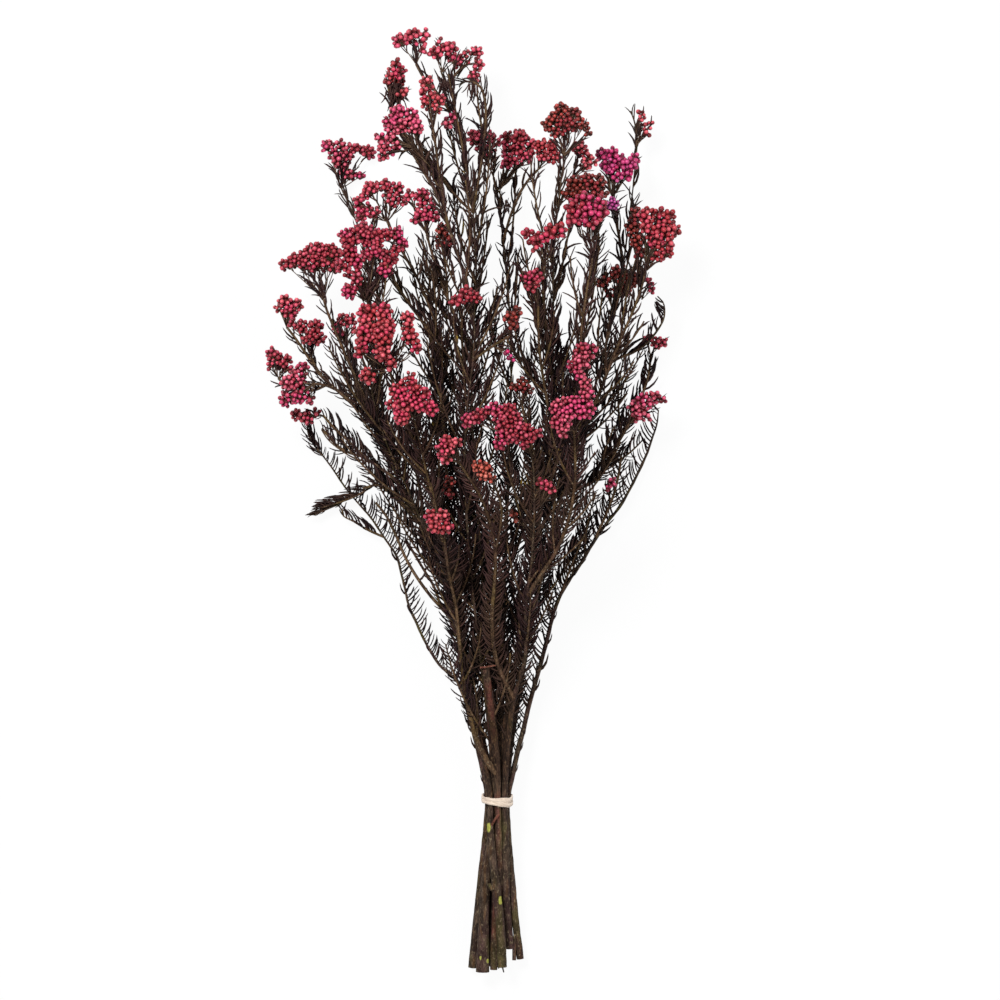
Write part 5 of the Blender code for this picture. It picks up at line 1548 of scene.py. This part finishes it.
# Each tangle: its middle, its radius, how many leaves, and their length
TANGLES = [((-47.5, 259, 73), 6.0, 34, 12), ((-48, 254, 75), 5.4, 16, 13),
           ((-17, 264, 60), 5.5, 22, 12), ((1, 263, 56), 4.6, 20, 11),
           ((23, 190, 30), 2.5, 9, 10), ((-30, 150, 90), 3.0, 14, 9), ((98, 136, 30), 3.5, 16, 9)]
TANGLE_CURL = 1.5


def stray_leaf(stem, y, hand, length):
    """One long leaf from a stem at the given height up the bunch, curling up and outwards."""
    places, _, _ = smooth_route(route_of(stem), 1.0)
    k = int(np.argmin(np.abs(places[:, 1] - y)))
    turns = frames_from(np.array([[hand * 0.85, 0.35, 0.25]]), np.array([[0.0, 1.0, 0.2]]))
    sizes = np.array([[length * STRAY_CURL, NEEDLE_WIDTH, length]])
    return scatter(NEEDLE, places[k][None], turns, sizes, np.array([0.45]), np.zeros(1))


def tangle(middle, radius, count, length):
    """Wilted leaves that hang from a short twig and curl as they dried."""
    feet = np.array(middle, float) + DICE.normal(0, 0.5, (count, 3)) * radius * (0.9, 1.0, 0.6)
    aims = DICE.normal(0, 0.26, (count, 3)) - (0, 0.9, 0)
    turns = frames_from(aims, DICE.normal(0, 0.7, (count, 3)) - (0, 1.2, 0))
    size = length * DICE.uniform(0.4, 0.9, count)
    width = NEEDLE_WIDTH * DICE.uniform(0.7, 1.2, count)
    sizes = np.stack([size * TANGLE_CURL, width, size], axis=1)
    return scatter(NEEDLE, feet, turns, sizes, DICE.uniform(0.5, 1.0, count), np.zeros(count))


odd_sets += [stray_leaf(*row) for row in STRAYS]
odd_sets += [tangle(*row) for row in TANGLES]
odd_leaves = mesh_object("odd_leaves", odd_sets, [LEAF])
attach(odd_leaves, "root")
print("odd leaves:", len(odd_leaves.data.polygons) // len(NEEDLE[1]))

# %% [markdown]
# ## Flower heads
# A head is a fan of thin stalks from the twig's tip. Each stalk ends in a rounded lobe of buds on
# stalks of their own. The buds are spread over each lobe in a spiral like a sunflower's, jittered,
# and left out where two lobes meet. An even grid would look like a raspberry, and pure chance
# would leave bald patches.

# %% Fill the gaps between lobes
# Lobes nearer than MEET_GAP get one between them, smaller and lower
MEET_GAP, BETWEEN_SIZE, BETWEEN_DROP = 3.5, 0.88, 0.8


def filled_lobes(lobes):
    """The lobes, and one more between each two that nearly touch."""
    full = [np.array(lobe, float) for lobe in lobes]
    between = []
    for i, one in enumerate(full):
        for other in full[i + 1:]:
            if math.dist(one[:3], other[:3]) < one[3] + other[3] + MEET_GAP:
                middle = (one + other) / 2
                middle[3] *= BETWEEN_SIZE
                middle[2] -= BETWEEN_DROP
                between.append(middle)
    return full + between


print("lobes:", sum(len(lobes) for _, _, lobes in HEADS.values()), "and with those between:",
      sum(len(filled_lobes(lobes)) for _, _, lobes in HEADS.values()))

# %% Places for buds on one lobe
BUD_SIZES = (1.22, 1.76)
BUD_GAP = 3.0
SHELL, LEAST_REACH = 1.4, 0.5
COVER = 0.74


def spread_on_ball(count, axis):
    """Directions spread evenly over the part of a ball that faces axis."""
    k = np.arange(count) + 0.5
    rise = 1 - k / count * (1 + COVER)
    turn = k * GOLDEN_ANGLE
    flat = np.sqrt(np.maximum(0, 1 - rise ** 2))
    local = np.stack([flat * np.cos(turn), flat * np.sin(turn), rise], axis=1)
    turns = frames_from(axis[None], np.array([[0.3, 0.8, 0.1]]))[0]
    return local @ turns.T


def bud_candidates(lobe, foot, sunk, tries):
    """Places on one lobe for buds: first an even spiral, and then chance places to fill gaps."""
    axis = lobe[:3] - foot
    axis /= np.linalg.norm(axis)
    # Nothing uses this draw. It stays so that every later one keeps its place in the sequence
    DICE.uniform(*BUD_SIZES)
    reach = max(LEAST_REACH, lobe[3] - SHELL - sunk)
    count = max(2, int(4 * math.pi * reach ** 2 / BUD_GAP ** 2) + 1)
    ways = spread_on_ball(count, axis)
    chance = DICE.normal(0, 1, (count * tries, 3))
    chance /= np.linalg.norm(chance, axis=1)[:, None]
    chance = chance[chance @ axis > -COVER]
    return lobe[:3] + ways * reach, ways, lobe[:3] + chance * reach, chance


print("a spiral of three:", np.round(spread_on_ball(3, np.array([0, 0, 1.0])), 1).tolist())

# %% Spread the buds over a head
BUD_JITTER = 0.34
BUD_REST = 1.17
# How far inside another lobe a bud may lie, and how close two buds may be; less in deeper layers
INSIDE_GAP, NEAREST = (2.0, 2.1), (0.83, 0.18)
# Each layer of buds: how deep below the lobe's surface, and how many chance places a spiral one
LAYERS = ((0.0, 5), (2.1, 3))
# How much painted shade darkens the buds of the deeper layer
LAYER_PAINTED_SHADE = 0.48


def place_buds(lobes, foot, bud_size):
    """Bud centres, directions, sizes, lobes and painted shade over the joint surface of all lobes.
    """
    spiral, chance = [], []
    for layer, (sunk, tries) in enumerate(LAYERS):
        for i, lobe in enumerate(lobes):
            even, even_ways, odd, odd_ways = bud_candidates(lobe, foot, sunk, tries)
            spiral += [(i, place, way, layer) for place, way in zip(even, even_ways)]
            chance += [(i, place, way, layer) for place, way in zip(odd, odd_ways)]
    spiral.sort(key=lambda row: row[3])
    chance.sort(key=lambda row: row[3])
    centres = np.array([lobe[:3] for lobe in lobes])
    reaches = np.array([lobe[3] for lobe in lobes])
    spots, sizes, aims, owners, painted_shade_depths = np.empty((0, 3)), [], [], [], []
    for k, place, way, layer in spiral + chance:
        size = bud_size * DICE.uniform(*BUD_SIZES)
        place = place + DICE.normal(0, BUD_JITTER, 3)
        place[2] = max(place[2], size * BUD_REST + 0.1)
        off = np.linalg.norm(centres - place, axis=1)
        off[k] = math.inf
        if np.any(off < reaches - INSIDE_GAP[0] - INSIDE_GAP[1] * layer):
            continue
        nearest = (NEAREST[0] - NEAREST[1] * layer) * (size + np.array(sizes))
        if len(spots) and np.any(np.linalg.norm(spots - place, axis=1) < nearest):
            continue
        spots = np.vstack([spots, place])
        sizes.append(size)
        aims.append(way)
        owners.append(k)
        painted_shade_depths.append(LAYER_PAINTED_SHADE * layer)
    return spots, np.array(aims), np.array(sizes), owners, np.array(painted_shade_depths)


print("layers of buds:", len(LAYERS))

# %% Which heads differ
# How much lighter or darker some heads are as a whole, by the last two digits of their names:
# partly their own dye, and partly painted light that lifts heads lying low in shade
LIVELY, DULL, DARK = 0.28, -0.24, -0.44
DYE_AND_LIGHT_GROUPS = [
    (LIVELY, ("01", "02", "03", "04", "06", "09", "12", "17", "21", "25", "34", "36", "37", "40")),
    (DULL, ("11", "18", "19", "22", "24", "33", "38", "39", "41")),
    (DARK, ("10", "13", "20", "27", "28", "29", "30", "32"))]
DYE_AND_PAINTED_LIGHT = {name: dye_and_light for dye_and_light, names in DYE_AND_LIGHT_GROUPS for name in names}
# How much larger or smaller some heads' buds are
BUD_SCALE = {"flower_head_28": 1.3, "flower_head_29": 1.25, "flower_head_26": 1.12,
             "flower_head_01": 1.1, "flower_head_02": 1.1, "flower_head_18": 1.12,
             "flower_head_19": 1.04, "flower_head_38": 0.95, "flower_head_41": 0.88,
             "flower_head_30": 1.15, "tuft_purple": 0.78}
print("heads of another brightness:", len(DYE_AND_PAINTED_LIGHT), "of another bud size:", len(BUD_SCALE))

# %% Make the heads
MAIN_STALK, BUD_STALK = 0.42, 0.28
KNOT_DEPTH = 2.0
BUD_HEIGHT = 1.06
LOBE_SPREAD = 0.16
LEAFY_STALK = 7


def head_parts(foot, lobes, bud_size, dye_and_light):
    """A head's buds, its main stalks, each bud's own stalk, and the leaves on the main stalks."""
    foot = np.array(foot, float)
    full = filled_lobes(lobes)
    spots, aims, sizes, owners, painted_shade_depths = place_buds(full, foot, bud_size)
    knots = []
    for lobe in full:
        axis = lobe[:3] - foot
        inwards = axis / np.linalg.norm(axis) * max(LEAST_REACH, lobe[3] - KNOT_DEPTH)
        knots.append(lobe[:3] - inwards)
    knots = np.array(knots)
    turns = frames_from(aims, DICE.normal(0, 1, (len(spots), 3)))
    stretch = np.stack([sizes, sizes, sizes * BUD_HEIGHT], axis=1)
    lobe_tone = DICE.normal(0, LOBE_SPREAD, len(full))[owners]
    tones = np.clip(DICE.beta(1.3, 1.7, len(spots)) + lobe_tone + dye_and_light, 0, 1)
    balls = scatter(BUD, spots, turns, stretch, tones, painted_shade_depths)
    main = knots[:len(lobes)]
    fan = stalks(np.tile(foot, (len(main), 1)), main, MAIN_STALK)
    short = stalks(knots[owners], spots, BUD_STALK)
    leaves = [needles_along([foot, knot], start=1, pitch=1.7, length=9.0, lean=46)
              for knot in main if math.dist(foot, knot) > LEAFY_STALK]
    return [balls, fan, short, *leaves]


def make_head(name, foot, tone, lobes, bud_size=1.0, dye_and_light=0.0):
    """One head as a piece, and the number of its buds."""
    parts = head_parts(foot, lobes, bud_size, dye_and_light)
    slots = [0, 1, 1] + [2] * (len(parts) - 3)
    head = mesh_object(name, parts, [BUDS[tone], STALK, LEAF], slots)
    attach(head, "root")
    return head, len(parts[0][1]) // len(BUD[1])


bud_count = 0
for name, (twig, tone, lobes) in HEADS.items():
    head, count = make_head(name + "_buds", route_of(twig)[-1], tone, lobes,
                            BUD_SCALE.get(name, 1.0), DYE_AND_PAINTED_LIGHT.get(name[-2:], 0.0))
    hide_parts(name)
    bud_count += count
print("heads:", len(HEADS), "buds:", bud_count)

# %% [markdown]
# ## Small heads
# Tufts of a few buds sit on side twigs all through the bunch. They are too small to be solids of
# their own, so each is drawn here with the bit of twig that carries it.

# %% Tufts and single buds
# Each tuft: where its twig starts, its tone, and its lobes as (x, y, z, radius)
TUFTS = {
    "tuft_top": ((-7, 225, 66), "rose", [(-15, 238, 70, 4.4), (-11, 243, 69, 3.2)]),
    "tuft_brown": ((-13, 150, 90), "russet", [
        (-18, 170, 95, 4.6), (-13, 163, 95, 4), (-20, 161, 94, 3.6)]),
    "tuft_tassel": ((-50, 252, 72), "coral", [
        (-47.5, 276, 69, 3.5), (-44, 271.5, 70, 3.4), (-52.5, 267.5, 71, 3.5),
        (-45, 266, 72, 3.3), (-54, 263.5, 71, 2.6), (-41.5, 257, 76, 3.2),
        (-46, 255.5, 79, 2.2)]),
    "tuft_spire": ((104, 225, 23), "coral", [
        (108, 246, 23, 3.2), (109, 239, 23, 3.0), (115, 240, 23, 2.4), (111, 233, 24, 2.6)]),
    "tuft_crown": ((-9, 268, 47), "crimson", [(-4, 284, 46, 2.6), (-3, 277, 46, 2.2)]),
    "tuft_purple": ((93, 176, 36), "purple", [
        (89, 187, 78, 4.7), (88.6, 187.4, 78.2, 4.6), (89.3, 186.7, 77.8, 4.6)]),
    "tuft_right": ((108, 128, 22), "crimson", [(112, 140, 20, 3.4), (114, 134, 20, 3.4)]),
    "tuft_right_inner": ((107, 134, 56), "russet", [
        (104, 182, 50, 4.6), (102, 173, 50, 5.4), (105, 164, 51, 5.2), (107, 156, 52, 4.2)]),
    "tuft_left_inner": ((-63, 85, 97), "russet", [
        (-60, 108, 116, 4.4), (-55, 100, 117, 4.0), (-62, 99, 117, 3.6)]),
    "tuft_inner": ((14, 97, 105), "magenta", [(22, 93, 108, 2.4), (26, 88, 107, 2.2)]),
    "tuft_dark": ((43, -4, 100), "crimson", [
        (47, 10, 110, 4.2), (43, 12, 110, 3), (51, 7, 110, 3)]),
    "tuft_far_right": ((86, 4, 16), "rose", [(89, 12, 26, 3.6), (86, 8, 26, 2.6)]),
    "tuft_orange": ((-8, 0, 66), "russet", [
        (-14, 12, 77, 4.2), (-13, 5, 77, 3.4), (-17, 8, 76, 3)]),
    "tuft_olive": ((33, -16, 88), "orange", [(26, -8, 92, 2.6), (28, -11, 92, 2.2)]),
}

tuft_buds = 0
for name, row in TUFTS.items():
    tuft_buds += make_head(name, *row, BUD_SCALE.get(name, 1.0))[1]
print("tufts:", len(TUFTS), "buds:", tuft_buds)

# %% [markdown]
# ## Leafy shoots
# Where a twig ends in leaves and no flowers, its solid is replaced by the wood and needles of the
# same route.

# %% Make the leafy ends
LEAFY_SIDES = {"leafy_shoot_right": (-0.8, 0.6, 0.3), "leafy_shoot_curled": (-0.9, -0.2, 0.2)}
# How far apart an end's leaves stand, and their length, lean and stoutness
USUAL_END = (0.8, 9.5, 38, 1.0)
LEAFY_ENDS = {
    "leafy_shoot_right": (1.15, 11.0, 68, 1.55), "leafy_shoot_curled": (0.6, 8.6, 76, 1.7),
    "leafy_shoot_left": (0.55, 9.0, 42, 1.2), "leafy_shoot_far_left": (0.6, 10.0, 46, 1.2),
    "leafy_shoot_spire": (1.6, 10.0, 34, 1.0)}


def make_leafy_end(name):
    """The wood and the needles of one leafy shoot, as two pieces that replace its solid."""
    twig, places = SHOOTS[name]
    route = np.array([route_of(twig)[-1], *places], float)
    wood = small_wood(name, route, 0.8, 0.4, BARK)
    pitch, length, lean, stout = LEAFY_ENDS.get(name, USUAL_END)
    comb = needles_along(route, start=0, pitch=pitch, length=length, lean=lean,
                         side=LEAFY_SIDES.get(name), stout=stout)
    leaves = mesh_object(name + "_needles", [comb], [LEAF])
    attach(leaves, "root")
    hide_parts(name)
    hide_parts(name)


for name in SHOOTS:
    make_leafy_end(name)
print("leafy ends:", len(SHOOTS))

# %% [markdown]
# ## The cotton tie
# The tie is a soft cord of two strands, wound twice round the stems. Each strand is a tube built
# ring by ring round its path, because its fibres need coordinates that run along the strand.

# %% The cord's path
TIE_RADIUS = 9.3
TIE_STEPS = 220
WINDS = 2
WIND_GAP = 2.2
# How the cord lies along the stems: behind them, dipping in front, to the right, and its waver
TIE_LIFT, FRONT_DIP, FRONT_SLANT, RIGHT_DIP, WAVER = 2.4, 3.6, 0.9, 1.9, 0.5


def cord_path():
    """The middle line: two turns round the stems that start behind them and dip in front."""
    t = np.linspace(0, WINDS, TIE_STEPS)
    turn = (t - 0.25) * math.tau
    x = TIE_CENTRE[0] + TIE_RADIUS * np.cos(turn)
    z = TIE_CENTRE[1] + TIE_RADIUS * np.sin(turn)
    front = np.maximum(0, np.sin(turn))
    right = np.maximum(0, np.cos(turn))
    y = TIE_Y + TIE_LIFT - FRONT_DIP * np.sqrt(front) - FRONT_SLANT * np.cos(turn) * front
    y += (1 - t) * WIND_GAP - RIGHT_DIP * right ** 2 + WAVER * np.sin(turn * 1.7)
    return np.stack([x, y, z], axis=1)


print("cord, mm:", round(float(lengths_along(cord_path())[-1]), 1))

# %% Wind the two strands
STRAND_RADIUS = 0.95
STRAND_FLAT = (1.22, 0.72)
STRAND_GAP = 1.15
STRAND_SIDES = 10
STRAND_PHASES = (0.4, 0.4 + math.pi)
STRAND_SWELL = 0.10
TWIST_PITCH = 46.0
FIBRE_SCALE = 0.05


def frames_along(path):
    """A turn matrix at each point of a path, with X along the stems."""
    return frames_from(np.gradient(path, axis=0), np.tile((0.0, 1.0, 0.0), (len(path), 1)))


def strand_path(path, phase):
    """A strand that winds slowly round the cord's middle line, flattened against the stems."""
    turns = frames_along(path)
    twist = lengths_along(path) / TWIST_PITCH * math.tau + phase
    across = turns[:, :, 0] * np.cos(twist)[:, None] * STRAND_GAP / 2
    lift = turns[:, :, 1] * np.sin(twist)[:, None] * STRAND_GAP / 5
    return path + across + lift


def tube_faces(count):
    """The triangles of a closed tube of that many rings, with a fan at each end."""
    sides, last = STRAND_SIDES, (count - 1) * STRAND_SIDES
    faces = []
    for i in range(count - 1):
        for k in range(sides):
            a, b = i * sides + k, i * sides + (k + 1) % sides
            faces += [(a, b, b + sides), (a, b + sides, a + sides)]
    for k in range(1, sides - 1):
        faces += [(0, k + 1, k), (last, last + k, last + k + 1)]
    return np.array(faces)


def strand_mesh(path, phase):
    """A closed tube round a path, as a set whose shades hold the fibre's own coordinates."""
    turns = frames_along(path)
    around = np.arange(STRAND_SIDES) * math.tau / STRAND_SIDES
    ring = turns[:, :, 0][:, None] * np.cos(around)[None, :, None] * STRAND_FLAT[0]
    ring = ring + turns[:, :, 1][:, None] * np.sin(around)[None, :, None] * STRAND_FLAT[1]
    swell = STRAND_RADIUS * (1 + STRAND_SWELL * np.sin(lengths_along(path) * 0.9 + phase))
    points = (path[:, None] + ring * swell[:, None, None]).reshape(-1, 3)
    fibre = np.ones((len(path), STRAND_SIDES, 4))
    fibre[:, :, 0] = lengths_along(path)[:, None] * FIBRE_SCALE
    fibre[:, :, 1] = np.cos(around + phase)[None]
    fibre[:, :, 2] = np.sin(around + phase)[None]
    return points, tube_faces(len(path)), fibre.reshape(-1, 4)


def make_tie():
    """Both strands as one piece, which replaces the solid tie."""
    path = cord_path()
    strands = [strand_mesh(strand_path(path, phase), phase) for phase in STRAND_PHASES]
    tie = mesh_object("cotton_cord", strands, [COTTON], shade_name="fibre")
    weld_and_smooth(tie)
    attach(tie, "root")
    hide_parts("cotton_tie")
    return tie


print("tie faces:", len(make_tie().data.polygons))
